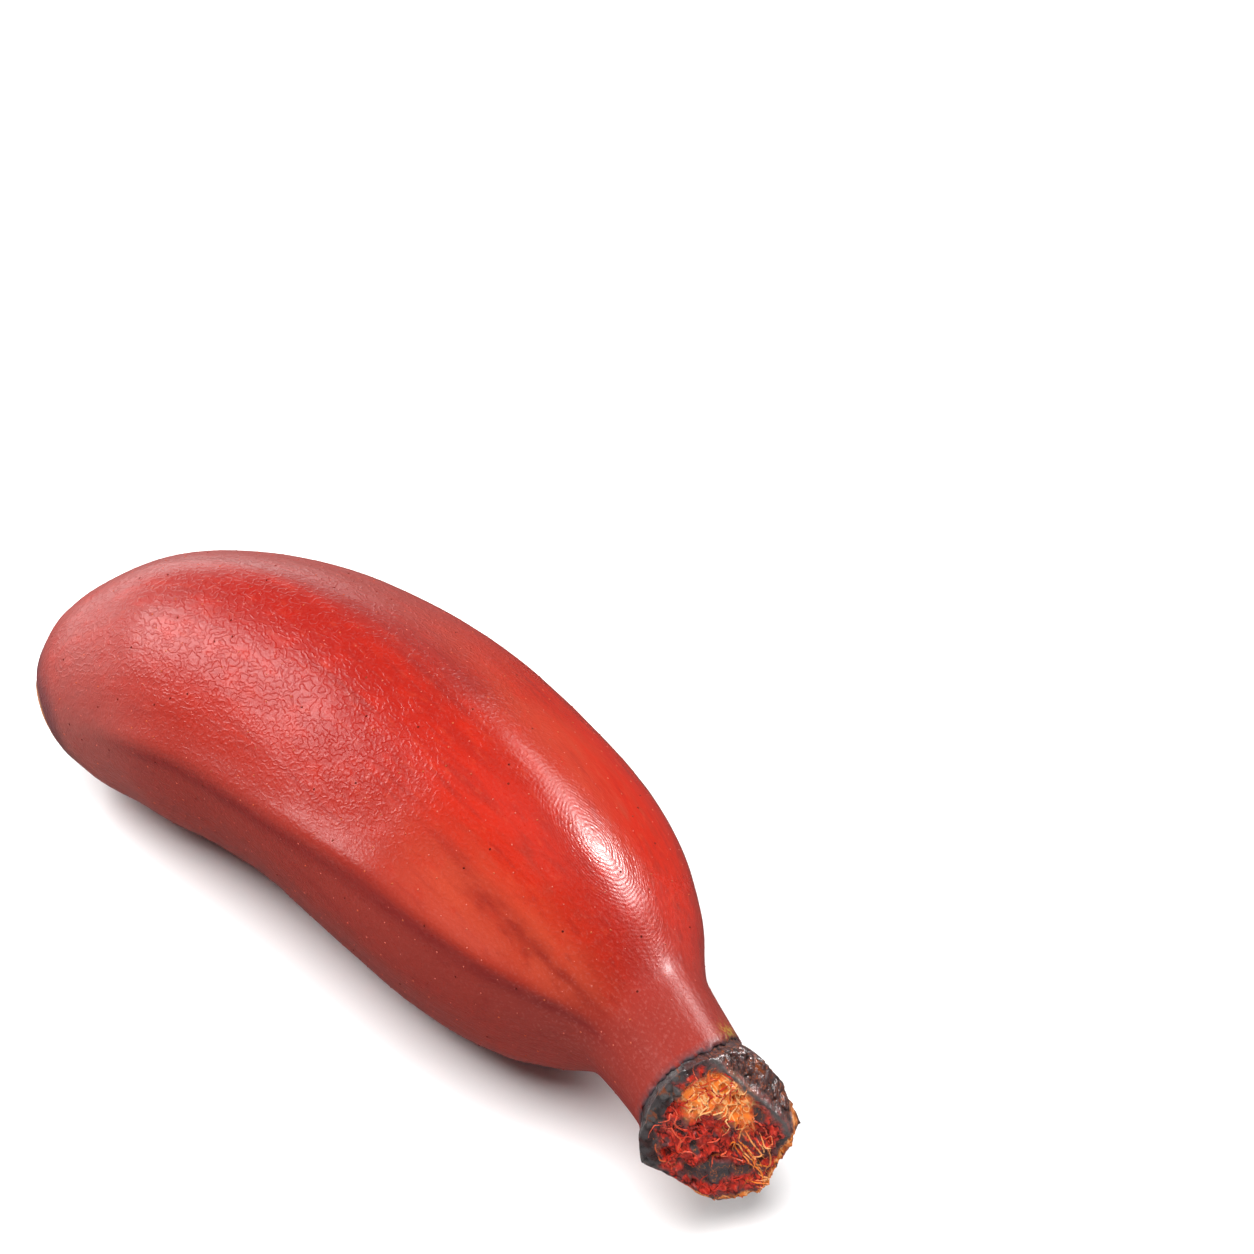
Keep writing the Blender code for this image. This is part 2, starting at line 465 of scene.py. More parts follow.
def grow(piece, tree, values):
    """Runs a tree on a piece and keeps the result as its plain mesh."""
    modifier = piece.modifiers.new(tree.name, "NODES")
    modifier.node_group = tree
    for item in tree.interface.items_tree:
        if item.item_type == "SOCKET" and item.in_out == "INPUT" and item.name in values:
            modifier[item.identifier] = values[item.name]
    evaluated = piece.evaluated_get(bpy.context.evaluated_depsgraph_get())
    mesh = bpy.data.meshes.new_from_object(evaluated)
    piece.modifiers.remove(modifier)
    if len(mesh.polygons) == 0:
        raise RuntimeError(f"{tree.name} made no faces for {piece.name}")
    piece.data = mesh
    return mesh


# --- Peel -------------------------------------------------------------------------------------------


def lip_station(angle):
    """Station of the torn lip, before its tears."""
    return smooth(LIP_STATIONS, angle % 360)


def peel_zones(station, angle):
    """Zones of the peel by name, from 0 to 1. Only wax goes past 1, where it lies thick on the neck."""
    zones = dict.fromkeys(("blush", "bright_red_and_painted_light", "wine_and_shade", "stripe_and_shade", "strain"), 0.0)
    for zone, middle, length, bearing, width, strength in PEEL_PATCHES:
        reach = hump(station, middle, length) * hump(turn_between(angle, bearing), 0, width)
        zones[zone] += strength * reach
    for bearing, start, end, width, strength in PEEL_STRIPES:
        # The stripes bend a little further round the fruit as it narrows.
        bent = bearing + 0.012 * max(station - 85, 0) ** 2
        ends = step(start, start + 14, station) * step(end, end - 10, station)
        zones["stripe_and_shade"] += strength * hump(turn_between(angle, bent), 0, width) * ends
    side = turn_between(angle, FRONT_ANGLE)
    # Below the sharper edge the peel is painted darker as shade, with a painted line of shade just under
    # the edge itself.
    below_edge = turn_between(angle, smooth(EDGE_ANGLES, station))
    zones["blush"] *= step(38, 28, side)
    # Painted shade: a dark line of the stripe tone just under the sharper edge.
    zones["stripe_and_shade"] += hump(below_edge, 4, 3) * step(14, 34, station) * step(122, 112, station)
    # The wine tone is partly the peel's own dull brown and partly painted shade: it darkens the peel away
    # from the bright upper side, over the neck and below the sharper edge.
    zones["wine_and_shade"] += 0.95 * step(36, 100, abs(turn_between(angle, BRIGHT_ANGLE)))
    zones["wine_and_shade"] += 0.9 * step(108, 121, station)
    zones["wine_and_shade"] += 0.7 * step(-5, 5, below_edge) * step(60, 40, below_edge)
    # A pale sheen is painted over the top of the blossom end, along its upper edge.
    crown, upward = max(82 - 0.95 * station, 42), turn_between(angle, 0)
    painted_sheen = step(crown + 24, crown - 6, upward) * step(-80, 20, upward) * step(74, 40, station)
    to_lip = lip_station(angle) - station
    # The peel is drawn tight at both ends.
    strain = max(step(34, 6, station), 0.9 * step(100, 112, station), zones["strain"])
    return {
        **{zone: min(zones[zone], 1.0) for zone in ("blush", "bright_red_and_painted_light", "wine_and_shade", "stripe_and_shade")},
        "olive": hump(turn_between(angle, OLIVE_ANGLE), 0, 13) * hump(to_lip, 0.9, 1.2),
        "halo": step(5.5, 1.0, station + 0.8 * math.sin(math.radians(5 * angle))),
        "char": step(0.7, 0.2, to_lip),
        # Partly real dusty wax and partly a painted pale sheen at the blossom end and along its top.
        "dust_and_sheen": max(0.45 * step(40, 4, station), 0.15 * step(60, 130, abs(side)), 0.45 * painted_sheen),
        "rings": step(74, 90, station) * step(118, 110, station) * hump(side, -48, 24),
        "strain": strain,
        "wax": 1 - 0.9 * hump(side, -84, 34) * step(56, 84, station) + 1.5 * step(100, 112, station),
        "worms": (1 - 0.6 * step(2, 28, side)) * (1 - 0.8 * step(66, 92, station)),
    }


def peel_radius(station, angle):
    """The body's radius with the sharper edge low on one side and the low ridge on the neck."""
    ends = step(8, 30, station) * step(118, 100, station)
    away = turn_between(angle, smooth(EDGE_ANGLES, station)) / EDGE_WIDTH
    neck = hump(turn_between(angle, NECK_RIDGE_ANGLE), 0, NECK_RIDGE_WIDTH) * step(104, 118, station)
    return body_radius(station, angle) + EDGE_HEIGHT * ends / (1 + away * away) + NECK_RIDGE_HEIGHT * neck


def peel_mesh():
    """The cage of the peel: under the scar, along the body, over the lip and back inside."""
    rings, tear = Rings(PEEL_ZONES), []
    angles = [360 * side / PEEL_SIDES for side in range(PEEL_SIDES)]

    def lay(places, share):
        """Lays a ring that takes this share of the tear."""
        rings.lay(places, [peel_zones(place[0], ring_angle(place)) for place in places])
        tear.append([share] * len(places))

    lay([(2.0, CENTRE, 0.0)], 0)
    for station, radius in SCAR_SEAT:
        lay([(station, *on_ring(radius, angle)) for angle in angles], 0)
    first, last = BODY_STATIONS
    count = round((LIP_MEAN - first) / PEEL_RING_GAP)
    for i in range(count + 1):
        station = first + (last - first) * i / count
        places = []
        for angle in angles:
            moved = station + (lip_station(angle) - LIP_MEAN) * step(108, 126, station)
            places.append((moved, *on_ring(peel_radius(moved, angle), angle)))
        lay(places, LAST_RING_TEAR if i == count else 0)
    for back, depth, share in LIP_RINGS:
        places = []
        for angle in angles:
            station = lip_station(angle) - back
            places.append((station, *on_ring(body_radius(station, angle) - depth, angle)))
        lay(places, share)
    lay([(STALK_ROOT, CENTRE, 0.0)], 0)
    along = [[tuple(AXIS.along(place[0])) for place in ring] for ring in rings.unbent]
    # Running length over the rings, from the front centre to the back centre.
    path, length = [[0.0]], 0.0
    for before, after in zip(rings.points, rings.points[1:]):
        length += (after[0] - before[0]).length
        path.append([length] * len(after))
    return rings.mesh("peel", along=along, tear=tear, path=path)


def peel_tree():
    """Rounds the cage, then raises slow swells, long dents and the torn lip, and presses the belly flat."""
    tree, given = new_tree(
        "peel_growth",
        {
            "Rounding": 1,
            "Swell Height": 0.00045,
            "Swell Size": 0.011,
            "Crease Height": 0.0001,
            "Crease Size": 0.0022,
            "Tear Depth": 0.0016,
            "Tear Size": 0.0011,
            "Floor Softness": 0.0003,
            "Material": None,
        },
    )
    shaped = add_node(
        tree, "GeometryNodeSubdivisionSurface", {"Mesh": given["Geometry"], "Level": given["Rounding"]}
    )
    named = "GeometryNodeInputNamedAttribute"
    unbent = add_node(tree, named, {"Name": "unbent"}, data_type="FLOAT_VECTOR")
    tear = add_node(tree, named, {"Name": "tear"}, data_type="FLOAT")
    along = add_node(tree, named, {"Name": "along"}, data_type="FLOAT_VECTOR")
    normal = add_node(tree, "GeometryNodeInputNormal")
    metres = add_node(tree, "ShaderNodeVectorMath", {0: unbent, "Scale": MM}, operation="SCALE")
    whole = add_node(tree, "ShaderNodeMath", {0: 1.0, 1: tear}, operation="SUBTRACT")
    # Each layer of relief: its height, its size, how much longer it is along the fruit, its direction,
    # where it acts and its detail. Swells and creases act all over, and the tear only at the lip.
    layers = (
        ("Swell Height", "Swell Size", 1.6, normal, whole, 1),
        ("Crease Height", "Crease Size", 2.6, normal, whole, 2),
        ("Tear Depth", "Tear Size", 0.3, along, tear, 3),
        ("Tear Depth", "Tear Size", 0.6, normal, tear, 2),
    )
    for height, size, stretch, direction, share, detail in layers:
        shorter = (1 / stretch, 1, 1)
        drawn = add_node(tree, "ShaderNodeVectorMath", {0: metres, 1: shorter}, operation="MULTIPLY")
        rate = add_node(tree, "ShaderNodeMath", {0: 1.0, 1: given[size]}, operation="DIVIDE")
        relief = add_node(
            tree, "ShaderNodeTexNoise", {"Vector": drawn, "Scale": rate, "Detail": detail, "Roughness": 0.55}
        )
        centred = add_node(tree, "ShaderNodeMath", {0: relief, 1: 0.5}, operation="SUBTRACT")
        raised = add_node(tree, "ShaderNodeMath", {0: centred, 1: given[height]}, operation="MULTIPLY")
        held = add_node(tree, "ShaderNodeMath", {0: raised, 1: share}, operation="MULTIPLY")
        offset = add_node(tree, "ShaderNodeVectorMath", {0: direction, "Scale": held}, operation="SCALE")
        shaped = add_node(tree, "GeometryNodeSetPosition", {"Geometry": shaped, "Offset": offset})
    place = add_node(tree, "ShaderNodeSeparateXYZ", {0: add_node(tree, "GeometryNodeInputPosition")}).outputs
    lifted = add_node(
        tree, "ShaderNodeMath", {0: place["Z"], 1: 0.0, 2: given["Floor Softness"]}, operation="SMOOTH_MAX"
    )
    resting = add_node(tree, "ShaderNodeCombineXYZ", {"X": place["X"], "Y": place["Y"], "Z": lifted})
    laid = add_node(tree, "GeometryNodeSetPosition", {"Geometry": shaped, "Position": resting})
    end_tree(tree, laid, given["Material"])
    return tree


def unroll(mesh):
    """UV map that unrolls the peel without overlaps: round the axis across, and over the rows upward."""
    unbent = np.zeros(len(mesh.vertices) * 3, np.float32)
    mesh.attributes["unbent"].data.foreach_get("vector", unbent)
    unbent = unbent.reshape(-1, 3)
    path = np.zeros(len(mesh.vertices), np.float32)
    mesh.attributes["path"].data.foreach_get("value", path)
    corners = np.zeros(len(mesh.loops), np.int32)
    mesh.loops.foreach_get("vertex_index", corners)
    starts = np.zeros(len(mesh.polygons), np.int32)
    mesh.polygons.foreach_get("loop_start", starts)
    totals = np.zeros(len(mesh.polygons), np.int32)
    mesh.polygons.foreach_get("loop_total", totals)
    across = ((np.arctan2(unbent[:, 2], unbent[:, 1]) / math.tau) % 1.0)[corners]
    face = np.repeat(np.arange(len(totals)), totals)
    # A face over the seam has corners near 0 and near 1: those near 0 go past 1. A centre point has no
    # angle of its own and takes its face's highest.
    highest = np.maximum.reduceat(across, starts)[face]
    across = np.where(highest - across > 0.5, across + 1.0, across)
    central = np.hypot(unbent[:, 1], unbent[:, 2])[corners] < NEAR_CENTRE
    highest = np.maximum.reduceat(np.where(central, 0.0, across), starts)[face]
    across = np.where(central, highest, across)
    up = UV_MARGIN + (1 - 2 * UV_MARGIN) * path[corners] / path.max()
    layer = mesh.uv_layers.new(name="OFBake")
    layer.data.foreach_set("uv", np.stack([across * (1 - SEAM_ROOM), up], axis=1).astype(np.float32).ravel())


def new_material(name):
    """A material with its node tree and its shader."""
    material = bpy.data.materials.new(name)
    material.use_nodes = True
    return material, material.node_tree, material.node_tree.nodes["Principled BSDF"]


def add_zones(tree, stored):
    """Zones by name in a material or a geometry tree, from attributes that hold three each."""
    zones = {}
    for attribute, labels in stored.items():
        if tree.type == "GEOMETRY":
            kind = "GeometryNodeInputNamedAttribute"
            held = add_node(tree, kind, {"Name": attribute}, data_type="FLOAT_VECTOR")
        else:
            held = add_node(tree, "ShaderNodeAttribute", attribute_name=attribute).outputs["Vector"]
        zones.update(zip(labels, add_node(tree, "ShaderNodeSeparateXYZ", {0: held}).outputs))
    return zones


def add_patterns(tree, sizes):
    """Noise by name.

    Each has its size along and round the fruit in millimetres, its detail, and whether it is folded at
    its middle value, so that it is 0 on thin winding lines.
    """
    unbent = add_node(tree, "ShaderNodeAttribute", attribute_name="unbent").outputs["Vector"]
    patterns = {}
    for label, (along, across, detail, folded) in sizes.items():
        scale = (1 / along, 1 / across, 1 / across)
        scaled = add_node(tree, "ShaderNodeVectorMath", {0: unbent, 1: scale}, operation="MULTIPLY")
        value = add_node(tree, "ShaderNodeTexNoise", {"Vector": scaled, "Scale": 1.0, "Detail": detail})
        if folded:
            centred = add_node(tree, "ShaderNodeMath", {0: value, 1: 0.5}, operation="SUBTRACT")
            value = add_node(tree, "ShaderNodeMath", {0: centred}, operation="ABSOLUTE")
        patterns[label] = value
    return patterns


def add_washes(tree, base, washes):
    """Lays washes over a base colour.

    Each has a pattern, its values where the wash starts and is full, a strength, the zone that holds
    it or None for everywhere, and a colour.
    """
    colour = (*base, 1)
    for pattern, start, full, strength, zone, paint in washes:
        share = add_node(
            tree, "ShaderNodeMapRange",
            {"Value": pattern, "From Min": start, "From Max": full, "To Max": strength},
            interpolation_type="SMOOTHSTEP",
        )
        if zone is not None:
            share = add_node(tree, "ShaderNodeMath", {0: share, 1: zone}, operation="MULTIPLY")
        mixed = add_node(tree, "ShaderNodeMix", {0: share, 6: colour, 7: (*paint, 1)}, data_type="RGBA")
        colour = mixed.outputs[2]
    return colour


def peel_material(look):
    """Red banana peel: living skin under a thin wax bloom, so a soft broad gloss over fine wrinkles."""
    material, tree, shader = new_material("waxy_red_banana_peel")
    zones = add_zones(tree, PEEL_ZONES)
    pattern = add_patterns(
        tree,
        {
            "cloud": (26, 12, 2, False),
            "mottle": (5, 2.4, 4, False),
            "fleck": (2.4, 0.9, 3, False),
            "streaks": (34, 1.6, 4, False),
            "grain": (0.5, 0.35, 2, False),
            "worm": (1.35, 1.0, 1, True),
            "long": (7.0, 0.7, 2, False),
            "swirl": (12, 6, 1, False),
            "ripple": (4.5, 2.6, 1, False),
        },
    )
    # No noise is below 0, so a wash from -1 to 0 fills its zone.
    full = (pattern["grain"], -1.0, 0.0, 1.0)
    washes = (
        (pattern["cloud"], 0.10, 0.50, 1.0, zones["blush"], look.blush),
        # Painted light: the glow wash brightens the red beside the highlights.
        (pattern["streaks"], 0.20, 0.60, 1.0, zones["bright_red_and_painted_light"], look.bright_red_and_painted_light),
        (pattern["mottle"], 0.48, 0.75, 0.40, None, look.bright_red_and_painted_light),
        (pattern["fleck"], 0.55, 0.75, 0.15, None, look.blush),
        # Partly painted shade: the wine wash darkens the belly, the neck and the face below the sharper edge.
        (*full, zones["wine_and_shade"], look.wine_and_shade),
        # Mostly dark lines along the ridges, and also painted shade under the sharper edge and near the tip.
        (pattern["streaks"], 0.05, 0.60, 1.0, zones["stripe_and_shade"], look.stripe_and_shade),
        (pattern["streaks"], 0.52, 0.78, 0.45, None, look.stripe_and_shade),
        (pattern["grain"], 0.50, 0.75, 0.07, zones["wax"], look.bloom),
        # Partly a painted sheen: the dust wash also pales the blossom end and its top edge.
        (pattern["streaks"], -0.30, 0.60, 0.80, zones["dust_and_sheen"], look.dust_and_sheen),
        (pattern["grain"], 0.42, 0.60, 1.0, zones["olive"], look.olive),
        (pattern["streaks"], -0.10, 0.50, 0.8, zones["halo"], look.halo),
        (pattern["fleck"], 0.25, 0.50, 1.0, zones["char"], look.char),
    )
    # Wax is duller over its grain and where it lies thick, and dullest where the torn lip has dried.
    rough = look.roughness - 0.16
    for zone, duller in ((pattern["grain"], 0.12), (zones["char"], 0.25), (zones["wax"], 0.10)):
        rough = add_node(tree, "ShaderNodeMath", {0: zone, 1: duller, 2: rough}, operation="MULTIPLY_ADD")
    # Worm-like wrinkles everywhere, about 1 mm from one to the next.
    worm = add_node(
        tree, "ShaderNodeMapRange", {"Value": pattern["worm"], "From Min": 0.09, "From Max": 0.0},
        interpolation_type="SMOOTHSTEP",
    )
    # Towards the stem, long rings one inside another, bent by a wide swell and less by a small one.
    unbent = add_node(tree, "ShaderNodeAttribute", attribute_name="unbent").outputs["Vector"]
    away = add_node(tree, "ShaderNodeVectorMath", {0: unbent, 1: RIPPLE_CENTRE}, operation="SUBTRACT")
    away = add_node(tree, "ShaderNodeVectorMath", {0: away, 1: RIPPLE_SHAPE}, operation="MULTIPLY")
    away = add_node(tree, "ShaderNodeVectorMath", {0: away}, operation="LENGTH").outputs["Value"]
    phase = add_node(tree, "ShaderNodeMath", {0: away, 1: look.wrinkle_gap / MM}, operation="DIVIDE")
    for label, bend in (("swirl", look.wrinkle_bend), ("ripple", look.wrinkle_bend * 0.4)):
        swell = {0: pattern[label], 1: bend, 2: phase}
        phase = add_node(tree, "ShaderNodeMath", swell, operation="MULTIPLY_ADD")
    turns = add_node(tree, "ShaderNodeMath", {0: phase, 1: math.tau}, operation="MULTIPLY")
    ring = add_node(tree, "ShaderNodeMath", {0: turns}, operation="SINE")
    relief = pattern["grain"]
    for wrinkle, height, zone in (
        (worm, 1.05, zones["worms"]), (ring, 0.15, zones["rings"]), (pattern["long"], 2.3, zones["strain"]),
        (pattern["fleck"], 1.2, None),
    ):
        raised = add_node(tree, "ShaderNodeMath", {0: wrinkle, 1: height}, operation="MULTIPLY")
        if zone is not None:
            raised = add_node(tree, "ShaderNodeMath", {0: raised, 1: zone}, operation="MULTIPLY")
        relief = add_node(tree, "ShaderNodeMath", {0: raised, 1: relief}, operation="ADD")
    bump = {"Height": relief, "Strength": 1.0, "Distance": look.wrinkle_height}
    finish = {
        "Base Color": add_washes(tree, look.red, washes),
        "Roughness": rough,
        "Normal": add_node(tree, "ShaderNodeBump", bump),
        "IOR": 1.4,
        "Specular IOR Level": 0.22,
        "Coat Weight": 0.03,
        "Coat Roughness": 0.2,
    }
    connect(tree, shader, finish)
    return material


def speck_tree():
    """Sets low corky domes on the peel, spread so that no two come close."""
    tree, given = new_tree(
        "peel_specks",
        {
            "Gap": 0.0023,
            "Most Per Square Metre": 220000.0,
            "Smallest": 0.00007,
            "Largest": 0.00018,
            "Flatness": 0.4,
            "First Station": 4.0,
            "Last Station": 122.5,
            "Floor Gap": 0.0008,
            "Seed": 4,
            "Material": None,
        },
    )
    named = "GeometryNodeInputNamedAttribute"
    unbent = add_node(tree, named, {"Name": "unbent"}, data_type="FLOAT_VECTOR")
    station = add_node(tree, "ShaderNodeSeparateXYZ", {0: unbent}).outputs["X"]
    tear = add_node(tree, named, {"Name": "tear"}, data_type="FLOAT")
    place = add_node(tree, "ShaderNodeSeparateXYZ", {0: add_node(tree, "GeometryNodeInputPosition")}).outputs
    # Only on the outer skin: before the torn lip, past the scar, and clear of the floor.
    chosen = add_node(tree, "ShaderNodeMath", {0: tear, 1: 0.01}, operation="LESS_THAN")
    for value, limit, test in (
        (station, given["First Station"], "GREATER_THAN"), (station, given["Last Station"], "LESS_THAN"),
        (place["Z"], given["Floor Gap"], "GREATER_THAN"),
    ):
        passed = add_node(tree, "ShaderNodeMath", {0: value, 1: limit}, operation=test)
        chosen = add_node(tree, "ShaderNodeMath", {0: passed, 1: chosen}, operation="MULTIPLY")
    spread = add_node(
        tree, "GeometryNodeDistributePointsOnFaces",
        {
            "Mesh": given["Geometry"], "Selection": chosen, "Distance Min": given["Gap"],
            "Density Max": given["Most Per Square Metre"], "Seed": given["Seed"],
        },
        distribute_method="POISSON",
    )
    tone = add_node(tree, "FunctionNodeRandomValue", {"Seed": given["Seed"]}, data_type="FLOAT")
    toned = add_node(
        tree, "GeometryNodeStoreNamedAttribute",
        {"Geometry": spread.outputs["Points"], "Name": "speck_tone", "Value": tone.outputs[1]},
        data_type="FLOAT", domain="POINT",
    )
    sizes = {2: given["Smallest"], 3: given["Largest"], "Seed": given["Seed"]}
    size = add_node(tree, "FunctionNodeRandomValue", sizes, data_type="FLOAT").outputs[1]
    low = add_node(tree, "ShaderNodeMath", {0: size, 1: given["Flatness"]}, operation="MULTIPLY")
    scale = add_node(tree, "ShaderNodeCombineXYZ", {"X": size, "Y": size, "Z": low})
    dome = add_node(tree, "GeometryNodeMeshIcoSphere", {"Radius": 1.0, "Subdivisions": 1})
    domes = add_node(
        tree, "GeometryNodeInstanceOnPoints",
        {"Points": toned, "Instance": dome, "Rotation": spread.outputs["Rotation"], "Scale": scale},
    )
    end_tree(tree, domes, given["Material"])
    return tree


def speck_material(look):
    """Corky breathing pores: dry and matte, so they stay pale on the skin and look dark in its gloss."""
    material, tree, shader = new_material("matte_corky_pore")
    place = add_node(tree, "ShaderNodeTexCoord").outputs["Object"]
    # Grit of 0.154 mm, and 0.03 mm high.
    grit = {"Vector": place, "Scale": 1 / (0.154 * MM), "Detail": 2.0}
    grit = add_node(tree, "ShaderNodeTexNoise", grit)
    tone = add_node(tree, "ShaderNodeAttribute", attribute_name="speck_tone").outputs["Fac"]
    washes = (
        (tone, 0.55, 0.8, 1.0, None, look.tan),
        (tone, 0.86, 0.9, 1.0, None, look.dark),
        (grit, 0.45, 0.6, 0.5, None, look.skin),
    )
    bump = {"Height": grit, "Strength": 1.0, "Distance": 0.03 * MM}
    finish = {
        "Base Color": add_washes(tree, look.pale, washes),
        "Roughness": 0.9,
        "Normal": add_node(tree, "ShaderNodeBump", bump),
        "Specular IOR Level": 0.05,
    }
    connect(tree, shader, finish)
    return material


# --- Torn stalk -------------------------------------------------------------------------------------


def plane_station(name, outward, sideways):
    """Station of a plane of the break over a point of the cross-section."""
    lean, towards, distance = BREAK_PLANES[name]
    tilt, around = math.radians(lean), math.radians(towards)
    reach = outward * math.cos(around) + sideways * math.sin(around)
    return BREAK_STATION + (distance - math.sin(tilt) * reach) / math.cos(tilt)


def break_station(outward, sideways):
    """Station of the break over a point of the cross-section."""
    return min(plane_station(name, outward, sideways) for name in BREAK_PLANES)


def stalk_radius(station, angle):
    """Full outside the peel, and drawn in under its lip."""
    drawn_in = 0.4 * (1 - step(-1.2, 1.4, station - lip_station(angle)))
    return smooth(BODY_RADII, min(station, 145)) - drawn_in


def rim_radius(angle):
    """Distance from the axis at which the break meets the stalk's side."""
    radius = 5.0
    for _ in range(40):
        station = break_station(*on_ring(radius, angle))
        radius += 0.5 * (stalk_radius(station, angle) - radius)
    return radius


def chord_distance(outward, sideways):
    """How far a point of the break lies past the ridge that parts torn face and bark."""
    past = CHORD_NORMAL[0] * outward + CHORD_NORMAL[1] * sideways
    return past + CHORD_BEND * min(sideways, 0) ** 2 - CHORD_DISTANCE


def place_patches():
    """The break's patches, each with its centre in the cross-section."""
    placed = []
    for zone, bearing, share, deep, wide, strength in STALK_PATCHES:
        across, up = on_ring(1.0, bearing)
        placed.append((zone, across, up, share * rim_radius(bearing), deep, wide, strength))
    return placed


def scale_point(place):
    """A place in the pattern of scales, which are long along the stalk."""
    return Vector([length / size for length, size in zip(place, SCALE_SIZES)])


def stalk_zones(place, share, on_side, patches):
    """Zones of the broken end by name, each from 0 to 1."""
    _, outward, sideways = place
    angle = ring_angle(place)
    wander = noise.fractal(Vector(place) / WANDER_SIZE, *FRACTAL, 3)
    zones = dict.fromkeys((label for labels in STALK_ZONES.values() for label in labels), 0.0)
    for zone, across, up, reach, deep, wide, strength in patches:
        radial = (outward * across + sideways * up - reach) / deep
        tangent = (sideways * across - outward * up) / wide
        zones[zone] += strength * math.exp(-radial * radial - tangent * tangent)
    for zone in ("dark", "lens", "comb"):
        zones[zone] = step(0.25, 0.6, zones[zone] + 0.3 * wander) * (1 - on_side)
    zones["ember"] = step(0.1, 0.9, zones["ember"] + 0.3 * wander) * (1 - on_side)
    past = chord_distance(outward, sideways) + 0.35 * wander
    zones["ridge"] = hump(past, 0.0, 0.55) * (1 - on_side)
    barked = step(75, 55, abs(turn_between(angle, BARK_ANGLE)))
    zones["bark"] = max(step(0.2, 0.8, past), on_side * barked)
    # Dark skins cover the side where there is no bark, and reach over the edge of the face.
    over = step(105, 80, abs(turn_between(angle, SKIN_ANGLE))) * step(0.80, 0.88, share + 0.14 * wander)
    zones["char"] = max(on_side * (1 - zones["bark"]), over)
    # The rim is a thin flap on the edge where the face turns down to the lower planes.
    face = plane_station("face", outward, sideways)
    below = min(plane_station(name, outward, sideways) for name in ("bottom edge", "end edge")) - face
    flap = step(0.4, 0.1, below + 0.5 * wander) * step(-1.7, -0.8, below + 0.5 * wander)
    zones["rim"] = flap * step(70, 54, abs(turn_between(angle, RIM_ANGLE)))
    # Scales of the bark and flakes of the dark skins part along cracks.
    near, far = noise.voronoi(scale_point(place))[0][:2]
    zones["crack"] = step(0.11, 0.02, far - near) * max(zones["bark"], 0.6 * zones["char"])
    return zones


def stalk_relief(place, zones, relief):
    """Height of the torn surface over its plane, in millimetres."""
    point = Vector(place)
    rough = noise.fractal(point / ROUGH_SIZE, *FRACTAL, 4)
    crest = 1 - abs(noise.noise(point / CREST_SIZE + Vector((7, 1, 4)))) * 2
    # Pits with a raised edge, each round a random point.
    distances, centres = noise.voronoi(point / PIT_SIZE)[:2]
    pit = -1.1 * step(0.36, 0.10, distances[0]) + 0.35 * hump(distances[0], 0.46, 0.08)
    covered = max(zones["dark"], zones["char"], zones["bark"])
    flesh = 0.30 * rough + 0.42 * crest**3 + 0.8 * pit * (1 - covered)
    # Flakes and scales each have their own height, and scales are domed too.
    flakes = 0.5 * noise.cell(centres[0] * 9.1) + 0.15 * rough
    distances, centres = noise.voronoi(scale_point(place))[:2]
    scales = 0.25 * noise.cell(centres[0] * 9.1) + 0.35 * (1 - distances[0]) - 0.20 * zones["crack"] + 0.15
    skin = max(zones["char"], zones["bark"])
    height = flesh * (1 - covered) + scales * skin + flakes * zones["dark"] * (1 - skin)
    return (height * (1 - 0.6 * zones["ridge"]) + 0.45 * zones["ridge"]) * relief


def stalk_mesh(relief):
    """The stalk from inside the peel to the break: root, side rings, rim and rings over the torn face."""
    rings = Rings(STALK_ZONES)
    angles = [360 * side / STALK_SIDES for side in range(STALK_SIDES)]
    rims = [rim_radius(angle) for angle in angles]
    tops = [break_station(*on_ring(radius, angle)) for radius, angle in zip(rims, angles)]
    patches = place_patches()

    def lay(places, shares, on_side):
        """Lays a ring of the side or the face with its relief. Shares run from 0 at the centre."""
        moved, zones = [], []
        for place, share in zip(places, shares):
            here = stalk_zones(place, share, on_side, patches)
            # The relief fades out under the peel's lip, and turns from outward to along at the rim.
            bare = step(0.3, 2.2, place[0] - lip_station(ring_angle(place))) if on_side else 1.0
            lift = stalk_relief(place, here, relief) * bare
            outward = step(0.86, 1.02, share + 0.2 * on_side)
            ragged = 0.7 * noise.noise(Vector((place[1], place[2], 0)) / WANDER_SIZE) * here["rim"] * bare
            spread = 1 + lift * outward / max(math.hypot(place[1], place[2]), 1.0)
            station = place[0] + lift * (1 - outward) + ragged
            moved.append((station, place[1] * spread, place[2] * spread))
            zones.append(here)
        rings.lay(moved, zones)

    lay([(STALK_ROOT, CENTRE, 0.0)], [1.0], 1.0)
    for ring in range(SIDE_RINGS):
        places, shares = [], []
        for angle, top in zip(angles, tops):
            station = STALK_ROOT + (top - STALK_ROOT) * ring / SIDE_RINGS
            places.append((station, *on_ring(stalk_radius(station, angle), angle)))
            shares.append(1 + (top - station) / 10)
        lay(places, shares, 1.0)
    for ring in range(FACE_RINGS):
        share = 1 - ring / FACE_RINGS
        places = []
        for angle, rim in zip(angles, rims):
            outward, sideways = on_ring(rim * share, angle)
            places.append((break_station(outward, sideways), outward, sideways))
        lay(places, [share] * STALK_SIDES, 0.0)
    lay([(break_station(CENTRE, 0.0), CENTRE, 0.0)], [0.0], 0.0)
    return rings.mesh("torn_stalk")


